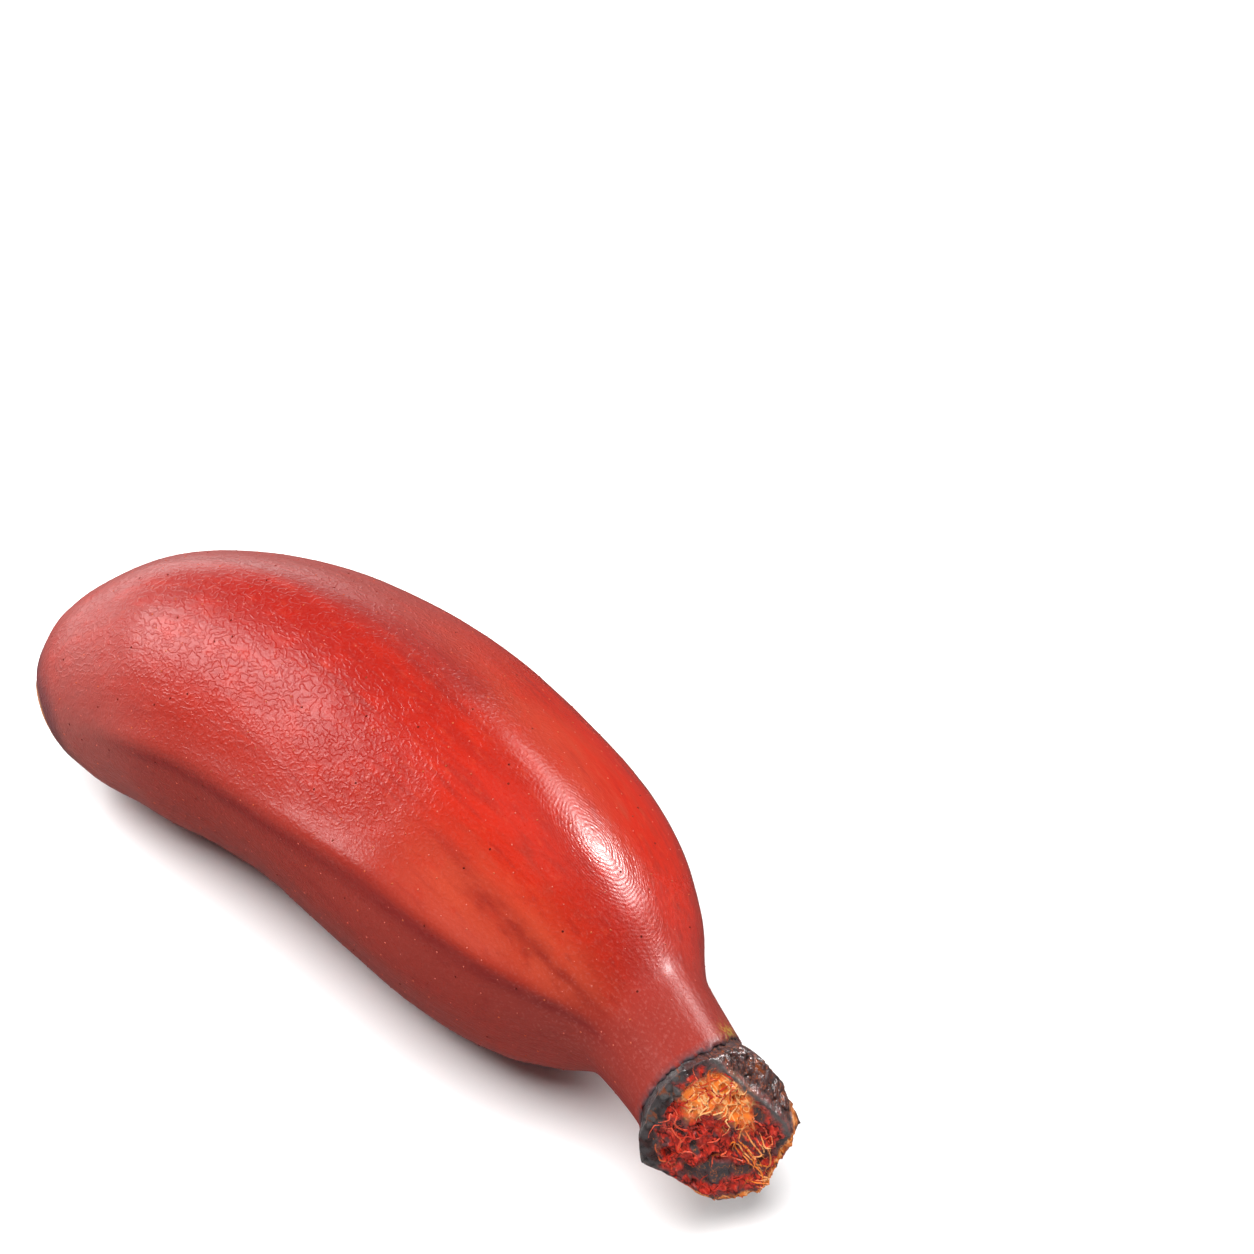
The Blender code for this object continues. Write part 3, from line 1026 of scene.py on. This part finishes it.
def stalk_material(look):
    """Torn, half-dried stalk: wet orange and red fibre in the middle, oxidised grey-black skins round it."""
    material, tree, shader = new_material("torn_drying_stalk")
    zones = add_zones(tree, STALK_ZONES)
    pattern = add_patterns(
        tree,
        {
            "patch": (2.2, 2.2, 3, False),
            "fibre": (1.3, 0.45, 3, False),
            "net": (2.4, 1.1, 2, True),
            "line": (3.0, 0.5, 2, True),
            "grit": (0.28, 0.28, 2, False),
        },
    )
    # No noise is below 0, so a wash from -1 to 0 fills its zone.
    full = (pattern["grit"], -1.0, 0.0, 1.0)
    washes = (
        (pattern["fibre"], 0.40, 0.58, 0.9, None, look.red),
        (pattern["fibre"], 0.58, 0.74, 0.8, None, look.red_fibre),
        (pattern["patch"], 0.57, 0.65, 0.85, None, look.purple),
        (pattern["net"], 0.035, 0.01, 0.85, None, look.pit),
        (pattern["patch"], 0.25, 0.45, 1.0, zones["ember"], look.ember),
        (pattern["net"], 0.055, 0.01, 0.8, zones["ember"], look.straw),
        (pattern["fibre"], 0.58, 0.70, 0.8, zones["ember"], look.red_fibre),
        (pattern["patch"], 0.66, 0.70, 0.8, zones["ember"], look.pit),
        (pattern["fibre"], 0.60, 0.40, 0.8, zones["comb"], look.purple),
        (*full, zones["dark"], look.char),
        (pattern["patch"], 0.45, 0.60, 0.9, zones["dark"], look.purple),
        (pattern["net"], 0.012, 0.0, 0.8, zones["dark"], look.rim),
        (*full, zones["lens"], look.red),
        (*full, zones["char"], look.char),
        (pattern["patch"], 0.49, 0.58, 0.8, zones["char"], look.ridge),
        (pattern["patch"], 0.46, 0.38, 0.8, zones["char"], look.bark),
        (*full, zones["bark"], look.bark),
        (pattern["fibre"], 0.45, 0.70, 0.9, zones["bark"], look.purple),
        (pattern["line"], 0.03, 0.0, 0.6, zones["bark"], look.rust),
        (*full, zones["crack"], look.pit),
        (pattern["patch"], 0.56, 0.62, 0.8, zones["crack"], look.rust),
        (*full, zones["ridge"], look.ridge),
        (*full, zones["rim"], look.rim),
        (pattern["fibre"], 0.52, 0.62, 0.7, zones["rim"], look.straw),
        (pattern["fibre"], 0.46, 0.36, 0.9, zones["rim"], look.bark),
    )
    grit = pattern["grit"]
    relief = {0: grit, 1: 0.3, 2: pattern["fibre"]}
    relief = add_node(tree, "ShaderNodeMath", relief, operation="MULTIPLY_ADD")
    # Fibres of 0.22 mm relief, under finer grit.
    bump = {"Height": relief, "Strength": 1.0, "Distance": 0.22 * MM}
    finish = {
        "Base Color": add_washes(tree, look.flesh, washes),
        "Roughness": add_node(tree, "ShaderNodeMath", {0: grit, 1: 0.4, 2: 0.16}, operation="MULTIPLY_ADD"),
        "Normal": add_node(tree, "ShaderNodeBump", bump),
    }
    connect(tree, shader, finish)
    return material


def fibre_tree():
    """Lays torn strands over the broken face: curled in the middle, and combed to one corner below it."""
    tree, given = new_tree(
        "stalk_fibres",
        {
            "Gap": 0.00055,
            "Most Per Square Metre": 1.3e6,
            "Length": 0.0042,
            "Curl": 0.0011,
            "Curl Size": 0.0022,
            "Radius": 0.00012,
            "Rings": 13,
            "Sides": 5,
            "Corner": (0.0, 0.0, 0.0),
            "Seed": 11,
            "Tone Seed": 3,
            "Material": None,
        },
    )
    zones = add_zones(tree, STALK_ZONES)
    covered = add_node(tree, "ShaderNodeMath", {0: zones["bark"], 1: zones["char"]}, operation="ADD")
    covered = add_node(tree, "ShaderNodeMath", {0: covered, 1: zones["ridge"]}, operation="ADD")
    bare = add_node(tree, "ShaderNodeMath", {0: covered, 1: 0.25}, operation="LESS_THAN")
    # Most of them lie where the face is combed or orange, and none on its dark skins.
    share = add_node(tree, "ShaderNodeMath", {0: zones["comb"], 1: 0.6, 2: 0.4}, operation="MULTIPLY_ADD")
    share = add_node(tree, "ShaderNodeMath", {0: zones["ember"], 1: 0.6, 2: share}, operation="MULTIPLY_ADD")
    share = add_node(tree, "ShaderNodeMath", {0: share, 1: zones["dark"]}, operation="SUBTRACT")
    spread = add_node(
        tree, "GeometryNodeDistributePointsOnFaces",
        {
            "Mesh": given["Geometry"], "Selection": bare, "Distance Min": given["Gap"],
            "Density Max": given["Most Per Square Metre"], "Density Factor": share, "Seed": given["Seed"],
        },
        distribute_method="POISSON",
    )
    # Each strand starts in a random direction, or towards the corner where the face is combed.
    position = add_node(tree, "GeometryNodeInputPosition")
    combed = add_node(tree, "ShaderNodeVectorMath", {0: given["Corner"], 1: position}, operation="SUBTRACT")
    combed = add_node(tree, "ShaderNodeVectorMath", {0: combed}, operation="NORMALIZE")
    anyhow = {0: (-1.0, -1.0, -1.0), 1: (1.0, 1.0, 1.0), "Seed": given["Seed"]}
    anyhow = add_node(tree, "FunctionNodeRandomValue", anyhow, data_type="FLOAT_VECTOR")
    heading = {0: zones["comb"], 4: anyhow, 5: combed}
    heading = add_node(tree, "ShaderNodeMix", heading, data_type="VECTOR").outputs[1]
    turned = add_node(
        tree, "FunctionNodeAlignRotationToVector",
        {"Rotation": spread.outputs["Rotation"], "Vector": heading}, axis="X", pivot_axis="Z",
    )
    line = {"Start": (-0.5, 0.0, 0.0), "End": (0.5, 0.0, 0.0)}
    line = add_node(tree, "GeometryNodeCurvePrimitiveLine", line)
    line = add_node(tree, "GeometryNodeResampleCurve", {"Curve": line, "Count": given["Rings"]})
    # Strands are from under half to over one and a quarter of the usual length.
    length = {2: 0.45, 3: 1.25, "Seed": given["Seed"]}
    length = add_node(tree, "FunctionNodeRandomValue", length, data_type="FLOAT").outputs[1]
    length = add_node(tree, "ShaderNodeMath", {0: length, 1: given["Length"]}, operation="MULTIPLY")
    strands = add_node(
        tree, "GeometryNodeInstanceOnPoints",
        {"Points": spread.outputs["Points"], "Instance": line, "Rotation": turned, "Scale": length},
    )
    tone = add_node(tree, "FunctionNodeRandomValue", {"Seed": given["Tone Seed"]}, data_type="FLOAT")
    toned = add_node(
        tree, "GeometryNodeStoreNamedAttribute",
        {"Geometry": strands, "Name": "strand_tone", "Value": tone.outputs[1]},
        data_type="FLOAT", domain="INSTANCE",
    )
    loose = add_node(tree, "GeometryNodeRealizeInstances", {"Geometry": toned})
    # Noise bends each strand, and least where the face is combed.
    rate = add_node(tree, "ShaderNodeMath", {0: 1.0, 1: given["Curl Size"]}, operation="DIVIDE")
    swirl = {"Vector": position, "Scale": rate, "Detail": 1.0}
    swirl = add_node(tree, "ShaderNodeTexNoise", swirl).outputs["Color"]
    swirl = add_node(tree, "ShaderNodeVectorMath", {0: swirl, 1: (0.5, 0.5, 0.5)}, operation="SUBTRACT")
    curl = add_node(tree, "ShaderNodeMath", {0: 4.0, 1: given["Curl"]}, operation="MULTIPLY")
    less = add_node(tree, "ShaderNodeMapRange", {"Value": zones["comb"], "To Min": 1.0, "To Max": 0.2})
    curl = add_node(tree, "ShaderNodeMath", {0: curl, 1: less}, operation="MULTIPLY")
    bend = add_node(tree, "ShaderNodeVectorMath", {0: swirl, "Scale": curl}, operation="SCALE")
    curled = add_node(tree, "GeometryNodeSetPosition", {"Geometry": loose, "Offset": bend})
    # Every point of a strand is set back on the torn surface, half sunk in it.
    nearest = add_node(tree, "GeometryNodeProximity", {0: given["Geometry"]}, target_element="FACES")
    nearest = nearest.outputs["Position"]
    laid = add_node(tree, "GeometryNodeSetPosition", {"Geometry": curled, "Position": nearest})
    # Points that met on an edge of the break are spaced out again, so that each strand closes.
    spaced = add_node(tree, "GeometryNodeResampleCurve", {"Curve": laid, "Count": given["Rings"]})
    # Strands taper from their middle to a quarter of its radius.
    taper = add_node(tree, "GeometryNodeSplineParameter").outputs["Factor"]
    taper = add_node(tree, "ShaderNodeMath", {0: taper, 1: math.pi}, operation="MULTIPLY")
    taper = add_node(tree, "ShaderNodeMath", {0: taper}, operation="SINE")
    taper = add_node(tree, "ShaderNodeMath", {0: taper, 1: 0.25}, operation="MAXIMUM")
    radius = add_node(tree, "ShaderNodeMath", {0: taper, 1: given["Radius"]}, operation="MULTIPLY")
    circle = add_node(tree, "GeometryNodeCurvePrimitiveCircle", {"Resolution": given["Sides"], "Radius": 1.0})
    tubes = add_node(
        tree, "GeometryNodeCurveToMesh",
        {"Curve": spaced, "Profile Curve": circle, "Fill Caps": True, "Scale": radius},
    )
    end_tree(tree, add_node(tree, "GeometryNodeSetShadeSmooth", {"Geometry": tubes}), given["Material"])
    return tree


def fibre_material(look):
    """Moist torn strand: straw and orange in the heart of the break, wine red at its edges."""
    material, tree, shader = new_material("moist_torn_strand")
    zones = add_zones(tree, STALK_ZONES)
    tone = add_node(tree, "ShaderNodeAttribute", attribute_name="strand_tone").outputs["Fac"]
    place = add_node(tree, "ShaderNodeTexCoord").outputs["Object"]
    # Mottle of 0.4 mm along the strands, and 0.05 mm high.
    mottle = {"Vector": place, "Scale": 1 / (0.4 * MM), "Detail": 2.0}
    mottle = add_node(tree, "ShaderNodeTexNoise", mottle)
    washes = (
        (tone, 0.30, 0.50, 1.0, None, look.red_fibre),
        (tone, 0.75, 0.90, 1.0, None, look.rust),
        (tone, 0.10, 0.50, 1.0, zones["ember"], look.ember),
        (tone, 0.40, 0.70, 1.0, zones["ember"], look.straw),
        (tone, 0.0, 0.1, 1.0, zones["comb"], look.ember),
        (tone, 0.50, 0.90, 0.5, zones["comb"], look.straw),
        (mottle, 0.52, 0.68, 0.6, None, look.pit),
        (tone, 0.60, 0.30, 0.8, zones["dark"], look.purple),
    )
    bump = {"Height": mottle, "Strength": 1.0, "Distance": 0.05 * MM}
    finish = {
        "Base Color": add_washes(tree, look.red, washes),
        "Roughness": 0.32,
        "Normal": add_node(tree, "ShaderNodeBump", bump),
    }
    connect(tree, shader, finish)
    return material


# --- Blossom scar -----------------------------------------------------------------------------------


def scar_surface(share, angle):
    """Station of the scar's surface, and its zones by name, each from 0 to 1."""
    outward, sideways = on_ring(1.0, angle)
    ray = Vector((outward, sideways, 0.3 * share))
    wander = noise.fractal(Vector((outward * share, sideways * share, 2.0)) * 3.0, *FRACTAL, 3)
    at = share + 0.02 * wander
    band = step(0.60, 0.66, at) * step(0.93, 0.88, at)
    # Dark cracks run outward through the band, and wrinkles between them.
    crack = step(0.06, 0.0, abs(noise.noise(ray * 2.3 + Vector((4, 0, 1))))) * step(0.58, 0.68, at)
    crack = crack * step(0.95, 0.9, at)
    wrinkle = noise.noise(ray * 7.0) * band
    # The plug in the middle parts along three slots.
    slot = max(hump(turn_between(angle, bearing) * share, 0, 3.5) for bearing in SCAR_SLOTS)
    plug = step(0.40, 0.36, at) * (1 - slot)
    ring = hump(at, 0.60, 0.025) * step(-0.35, 0.0, noise.noise(ray * 2.0 + Vector((9, 2, 5))))
    # The lip has a gap.
    edge, gap = hump(at, 0.94, 0.05), hump(turn_between(angle, SCAR_GAP), 0, 9)
    lip = edge * (1 - gap)
    station = smooth(SCAR_PROFILE, min(share, 1.0)) + 0.25 * crack - 0.12 * wrinkle - 0.10 * ring
    station += 0.35 * slot * step(0.42, 0.36, at) + 0.12 * wander * step(1.0, 0.9, share)
    station += 0.30 * gap * edge
    zones = {
        "lip": lip, "band": band, "crack": crack, "ring": ring, "plug": plug,
        "dark": max(step(0.40, 0.43, at) * step(0.58, 0.54, at), slot * step(0.42, 0.36, at)),
    }
    return station, zones


def scar_mesh():
    """The scar's face from its centre to its edge, and a back that lies inside the peel."""
    rings = Rings(SCAR_ZONES)
    angles = [360 * side / SCAR_SIDES for side in range(SCAR_SIDES)]
    face = [(ring / SCAR_RINGS, 0.0) for ring in range(SCAR_RINGS + 1)]
    for share, behind in (*face, *SCAR_BACK):
        places, zones = [], []
        for angle in angles if share else [0.0]:
            station, here = scar_surface(share, angle)
            ragged = 1 + 0.03 * noise.noise(Vector((*on_ring(2.5, angle), 0))) * share
            radius = max(share * SCAR_RADIUS * ragged, CENTRE)
            places.append((station + behind, *on_ring(radius, angle)))
            zones.append(here)
        rings.lay(places, zones)
    return rings.mesh("blossom_scar")


def scar_material(look):
    """Dry blossom scar: pale corky lip, brown leathery band and a dark sunken ring round a split plug."""
    material, tree, shader = new_material("dry_corky_scar")
    zones = add_zones(tree, SCAR_ZONES)
    pattern = add_patterns(
        tree,
        {
            "patch": (1.8, 1.8, 3, False),
            "grit": (0.3, 0.3, 3, False),
            "line": (0.9, 0.9, 2, True),
        },
    )
    grit = pattern["grit"]
    # No noise is below 0, so a wash from -1 to 0 fills its zone.
    full = (grit, -1.0, 0.0, 1.0)
    washes = (
        (pattern["patch"], 0.40, 0.60, 0.8, None, look.tan),
        (pattern["line"], 0.04, 0.0, 0.8, None, look.crack),
        (*full, zones["dark"], look.dark),
        (pattern["patch"], 0.50, 0.65, 0.5, zones["dark"], look.grey),
        (pattern["patch"], 0.55, 0.40, 0.9, zones["plug"], look.grey),
        (*full, zones["ring"], look.ring),
        (grit, 0.30, 0.55, 1.0, zones["lip"], look.lip),
        (*full, zones["crack"], look.crack),
    )
    # Corky grit, 0.15 mm high.
    bump = {"Height": grit, "Strength": 1.0, "Distance": 0.15 * MM}
    finish = {
        "Base Color": add_washes(tree, look.brown, washes),
        "Roughness": add_node(tree, "ShaderNodeMath", {0: grit, 1: 0.3, 2: 0.5}, operation="MULTIPLY_ADD"),
        "Normal": add_node(tree, "ShaderNodeBump", bump),
        "Specular IOR Level": 0.3,
    }
    connect(tree, shader, finish)
    return material


# --- Stage ------------------------------------------------------------------------------------------


def floor_material(look):
    """Matte white studio board with the faintest mottle."""
    material, tree, shader = new_material("matte_white_board")
    place = add_node(tree, "ShaderNodeTexCoord").outputs["Object"]
    # Mottle of 17 mm.
    mottle = {"Vector": place, "Scale": 1 / (17 * MM), "Detail": 2.0}
    mottle = add_node(tree, "ShaderNodeTexNoise", mottle)
    washes = ((mottle, 0.0, 1.0, 1.0, None, look.light),)
    finish = {
        "Base Color": add_washes(tree, look.floor, washes),
        "Roughness": 0.9,
        "Specular IOR Level": 0.1,
    }
    connect(tree, shader, finish)
    return material


def add_soft_box(name, power, compass, elevation, distance, size, glossy):
    """A soft box that faces the fruit: a glossy one only gives a highlight, another only gives light."""
    light = bpy.data.lights.new(name, "AREA")
    light.shape = "ELLIPSE"
    light.size, light.size_y = size
    light.energy = power
    lamp = bpy.data.objects.new(name, light)
    lamp.visible_glossy = glossy
    lamp.visible_diffuse = not glossy
    across, up = math.radians(compass), math.radians(elevation)
    towards = Vector((math.cos(across) * math.cos(up), math.sin(across) * math.cos(up), math.sin(up)))
    lamp.location = towards * distance
    lamp.rotation_euler = towards.to_track_quat("Z", "Y").to_euler()
    bpy.context.scene.collection.objects.link(lamp)


def add_camera():
    """Looks down on the fruit, with the fruit low and to the left of the frame."""
    data = bpy.data.cameras.new("camera")
    data.angle = math.radians(CAMERA_VIEW_ANGLE)
    camera = bpy.data.objects.new("camera", data)
    across, up = math.radians(CAMERA_AZIMUTH), math.radians(CAMERA_ELEVATION)
    back = Vector((math.sin(across) * math.cos(up), -math.cos(across) * math.cos(up), math.sin(up)))
    camera.location = Vector(CAMERA_TARGET) + back * CAMERA_DISTANCE
    camera.rotation_euler = back.to_track_quat("Z", "Y").to_euler()
    data.clip_start, data.clip_end = 0.01, 20
    bpy.context.scene.collection.objects.link(camera)
    bpy.context.scene.camera = camera


# --- Settings ---------------------------------------------------------------------------------------


def colour_setting(name, code, description):
    """A colour, from its sRGB hex code."""
    return bpy.props.FloatVectorProperty(
        name=name, description=description, default=linear_colour(code), size=3, min=0, max=1, subtype="COLOR"
    )


def length_setting(name, millimetres, description):
    """A length in metres, from millimetres."""
    return bpy.props.FloatProperty(
        name=name, description=description, default=millimetres * MM, min=0, precision=5,
        subtype="DISTANCE", unit="LENGTH",
    )


def number_setting(name, value, description, **more):
    """A number from 0 up. More names its unit, subtype or highest value."""
    return bpy.props.FloatProperty(name=name, description=description, default=value, min=0, **more)


class BANANA_PG_peel(bpy.types.PropertyGroup):
    """Finish of the peel."""

    red: colour_setting("Red", "#921911", "Main colour of the ripe peel")
    blush: colour_setting("Blush", "#CE5236", "Orange patches towards the stem")
    # Painted light round the highlights, and also the peel's brighter mottle.
    bright_red_and_painted_light: colour_setting("Glow", "#B8220E", "Brightest red, beside the ridges")
    # Partly the peel's own dull brown and partly painted shade on the belly, the neck and below the edge.
    wine_and_shade: colour_setting("Wine", "#882B22", "Dull wine brown of the belly and the neck")
    # Mostly lines along the ridges, and also painted shade under the sharper edge and near the tip.
    stripe_and_shade: colour_setting("Stripe", "#7A1C18", "Dark lines along the ridges")
    bloom: colour_setting("Bloom", "#C07068", "Pale wax that fills the finest wrinkles")
    # Partly real dusty wax and partly a painted pale sheen at the blossom end and along its top.
    dust_and_sheen: colour_setting("Dust", "#94645F", "Dull dusty wax at the blossom end and below")
    olive: colour_setting("Olive", "#A89030", "Unripe green left at the stem shoulder")
    halo: colour_setting("Halo", "#5A3438", "Bruised ring round the blossom scar")
    char: colour_setting("Char", "#40363A", "Dried edge of the torn peel")
    roughness: number_setting("Roughness", 0.30, "Dullness of the wax", max=1, subtype="FACTOR")
    wrinkle_gap: length_setting("Wrinkle Gap", 0.75, "Distance along the fruit between two long wrinkles")
    wrinkle_bend: number_setting("Wrinkle Bend", 6, "How many wrinkles a slow swell bends them by", max=40)
    wrinkle_height: length_setting("Wrinkle Height", 0.036, "Height of the finest wrinkles")
    swell_height: length_setting("Swell Height", 0.45, "Height of the slow swells of the skin")
    tear_depth: length_setting("Tear Depth", 1.6, "How ragged the torn lip is")


class BANANA_PG_specks(bpy.types.PropertyGroup):
    """Finish of the corky specks."""

    pale: colour_setting("Pale", "#C86A5C", "Most of the specks")
    tan: colour_setting("Tan", "#B85A3C", "Orange-brown specks")
    dark: colour_setting("Dark", "#4A1410", "A few sunken dark specks")
    skin: colour_setting("Skin", "#A03020", "Grit that matches the peel")
    gap: length_setting("Gap", 2.3, "Least distance between two specks")


class BANANA_PG_stalk(bpy.types.PropertyGroup):
    """Finish of the broken stalk."""

    flesh: colour_setting("Flesh", "#921F14", "Deep wet flesh of the stalk")
    red: colour_setting("Red", "#C62E1E", "Torn red flesh")
    red_fibre: colour_setting("Red Fibre", "#E45A40", "Strands in the red flesh")
    pit: colour_setting("Pit", "#160A08", "Gaps between strands and scales")
    ember: colour_setting("Ember", "#EE7E2C", "Orange heart of the break")
    straw: colour_setting("Straw", "#FFC684", "Lightest strands in the heart")
    purple: colour_setting("Purple", "#503B3C", "Oxidised patches")
    char: colour_setting("Char", "#433D3E", "Grey-black skins at the edge")
    bark: colour_setting("Bark", "#402422", "Dried outer side of the stalk")
    rust: colour_setting("Rust", "#A8501E", "Cracks between the scales of the bark")
    ridge: colour_setting("Ridge", "#54504F", "Grey ridge between torn face and bark")
    rim: colour_setting("Rim", "#D8701C", "Thin ragged rim where the face turns down")
    relief: number_setting("Relief", 1.0, "Height of the torn relief, as a share of the usual", max=3)


class BANANA_PG_fibres(bpy.types.PropertyGroup):
    """Sizes of the torn strands, which have the stalk's colours."""

    gap: length_setting("Gap", 0.55, "Least distance between the middles of two strands")
    length: length_setting("Length", 4.2, "Usual length of a strand")
    curl: length_setting("Curl", 1.1, "How far a strand's curls stray from its line")
    radius: length_setting("Radius", 0.12, "Radius of a strand at its middle")


class BANANA_PG_scar(bpy.types.PropertyGroup):
    """Finish of the blossom scar."""

    brown: colour_setting("Brown", "#5A3428", "Leathery band")
    tan: colour_setting("Tan", "#8A5238", "Worn patches of the band and the plug")
    lip: colour_setting("Lip", "#C08058", "Raised corky lip")
    ring: colour_setting("Ring", "#B06A34", "Broken inner ring")
    dark: colour_setting("Dark", "#221A1E", "Sunken ring and slots")
    grey: colour_setting("Grey", "#544840", "Grey-brown part of the plug")
    crack: colour_setting("Crack", "#1C100C", "Cracks through the band")


class BANANA_PG_stage(bpy.types.PropertyGroup):
    """Floor and light."""

    floor_size: length_setting("Floor Size", 8000, "Side of the square floor")
    floor: colour_setting("Floor", "#F7F7F7", "Main tone of the floor")
    light: colour_setting("Light", "#F9F9F9", "Light tone of its mottle")
    key_power: number_setting("Key", 7.6, "Soft box behind the stem end", unit="POWER")
    core_power: number_setting("Core", 13.5, "Small upright box inside the key", unit="POWER")
    side_power: number_setting("Side", 3.7, "Soft box beside the blossom end", unit="POWER")
    rim_power: number_setting("Rim", 4.5, "Low strip behind the blossom end", unit="POWER")
    top_power: number_setting("Top", 15.5, "Wide soft box overhead", unit="POWER")
    left_fill_power: number_setting("Left Fill", 1.35, "Weak light from the blossom end", unit="POWER")
    right_fill_power: number_setting("Right Fill", 5, "Weak light from beyond the stem end", unit="POWER")
    sky_strength: number_setting("Sky", 0.1, "Even light from all round")


# --- Operators --------------------------------------------------------------------------------------


class BANANA_OT_stage(bpy.types.Operator):
    """Lay the pale floor, hang the soft boxes and set the camera"""

    bl_idname = "red_banana.stage"
    bl_label = "Set Stage"

    def execute(self, context):
        look = context.scene.banana_stage
        half = look.floor_size / 2
        corners = [(x * half, y * half, -FLOOR_GAP) for x, y in ((-1, -1), (1, -1), (1, 1), (-1, 1))]
        mesh = bpy.data.meshes.new("floor")
        mesh.from_pydata(corners, [], [(0, 1, 2, 3)])
        mesh.materials.append(floor_material(look))
        floor = new_piece("floor", mesh)
        floor.visible_glossy = False
        for name, setting, *place, size, glossy in SOFT_BOXES:
            add_soft_box(name, getattr(look, setting), *place, size, glossy)
        world = bpy.data.worlds.new("sky")
        world.use_nodes = True
        background = {"Color": (1, 1, 1, 1), "Strength": look.sky_strength}
        connect(world.node_tree, world.node_tree.nodes["Background"], background)
        context.scene.world = world
        context.scene.view_settings.view_transform = "Standard"
        add_camera()
        return {"FINISHED"}


class BANANA_OT_peel(bpy.types.Operator):
    """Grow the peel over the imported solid"""

    bl_idname = "red_banana.peel"
    bl_label = "Grow Peel"

    def execute(self, context):
        look = context.scene.banana_peel
        peel = new_piece("peel", peel_mesh())
        sizes = {"Swell Height": look.swell_height, "Tear Depth": look.tear_depth}
        mesh = grow(peel, peel_tree(), {**sizes, "Material": peel_material(look)})
        unroll(mesh)
        mesh.shade_smooth()
        finish_piece(peel)
        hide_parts(NODE)
        return {"FINISHED"}


class BANANA_OT_stalk(bpy.types.Operator):
    """Break the stalk off in its ragged face"""

    bl_idname = "red_banana.stalk"
    bl_label = "Break Stalk"

    def execute(self, context):
        look = context.scene.banana_stalk
        stalk = new_piece("torn_stalk", stalk_mesh(look.relief))
        stalk.data.materials.append(stalk_material(look))
        finish_piece(stalk)
        return {"FINISHED"}


class BANANA_OT_fibres(bpy.types.Operator):
    """Lay torn strands over the broken face"""

    bl_idname = "red_banana.fibres"
    bl_label = "Lay Fibres"

    def execute(self, context):
        look = context.scene.banana_fibres
        bearing, share = COMB_CORNER
        outward, sideways = on_ring(share * rim_radius(bearing), bearing)
        corner = AXIS.world(break_station(outward, sideways), outward, sideways)
        fibres = new_piece("stalk_fibres", bpy.data.objects["torn_stalk"].data.copy())
        sizes = {"Gap": look.gap, "Length": look.length, "Curl": look.curl, "Radius": look.radius}
        material = fibre_material(context.scene.banana_stalk)
        grow(fibres, fibre_tree(), {**sizes, "Corner": list(corner), "Material": material})
        finish_piece(fibres)
        return {"FINISHED"}


class BANANA_OT_specks(bpy.types.Operator):
    """Set corky specks on the peel"""

    bl_idname = "red_banana.specks"
    bl_label = "Set Specks"

    def execute(self, context):
        look = context.scene.banana_specks
        specks = new_piece("peel_specks", bpy.data.objects["peel"].data.copy())
        mesh = grow(specks, speck_tree(), {"Gap": look.gap, "Material": speck_material(look)})
        mesh.shade_smooth()
        finish_piece(specks)
        return {"FINISHED"}


class BANANA_OT_scar(bpy.types.Operator):
    """Close the blossom end with its corky scar"""

    bl_idname = "red_banana.scar"
    bl_label = "Set Scar"

    def execute(self, context):
        scar = new_piece("blossom_scar", scar_mesh())
        scar.data.materials.append(scar_material(context.scene.banana_scar))
        finish_piece(scar)
        return {"FINISHED"}


class BANANA_PT_build(bpy.types.Panel):
    """Builds the fruit step by step."""

    bl_label = "Red Banana"
    bl_idname = "BANANA_PT_build"
    bl_space_type = "VIEW_3D"
    bl_region_type = "UI"
    bl_category = "Red Banana"

    def draw(self, context):
        for operator, settings in STEPS:
            box = self.layout.box()
            box.operator(operator.bl_idname)
            group = getattr(context.scene, settings)
            for name in group.bl_rna.properties.keys():
                if name not in ("name", "rna_type"):
                    box.prop(group, name)


# The scene's settings by name, and the steps in order, each with the settings that the panel shows.
SETTINGS = {
    "banana_stage": BANANA_PG_stage,
    "banana_peel": BANANA_PG_peel,
    "banana_specks": BANANA_PG_specks,
    "banana_stalk": BANANA_PG_stalk,
    "banana_fibres": BANANA_PG_fibres,
    "banana_scar": BANANA_PG_scar,
}
OPERATORS = (
    BANANA_OT_stage, BANANA_OT_peel, BANANA_OT_specks, BANANA_OT_stalk, BANANA_OT_fibres, BANANA_OT_scar,
)
STEPS = tuple(zip(OPERATORS, SETTINGS))
CLASSES = (*SETTINGS.values(), *OPERATORS, BANANA_PT_build)


def register():
    """Registers the classes and gives the scene its settings."""
    for made in CLASSES:
        bpy.utils.register_class(made)
    for name, group in SETTINGS.items():
        setattr(bpy.types.Scene, name, bpy.props.PointerProperty(type=group))


def unregister():
    """Takes back what register did."""
    for name in SETTINGS:
        delattr(bpy.types.Scene, name)
    for made in reversed(CLASSES):
        bpy.utils.unregister_class(made)


def main():
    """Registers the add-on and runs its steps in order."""
    register()
    for operator in OPERATORS:
        group, name = operator.bl_idname.split(".")
        getattr(getattr(bpy.ops, group), name)()


if __name__ == "__main__":
    main()
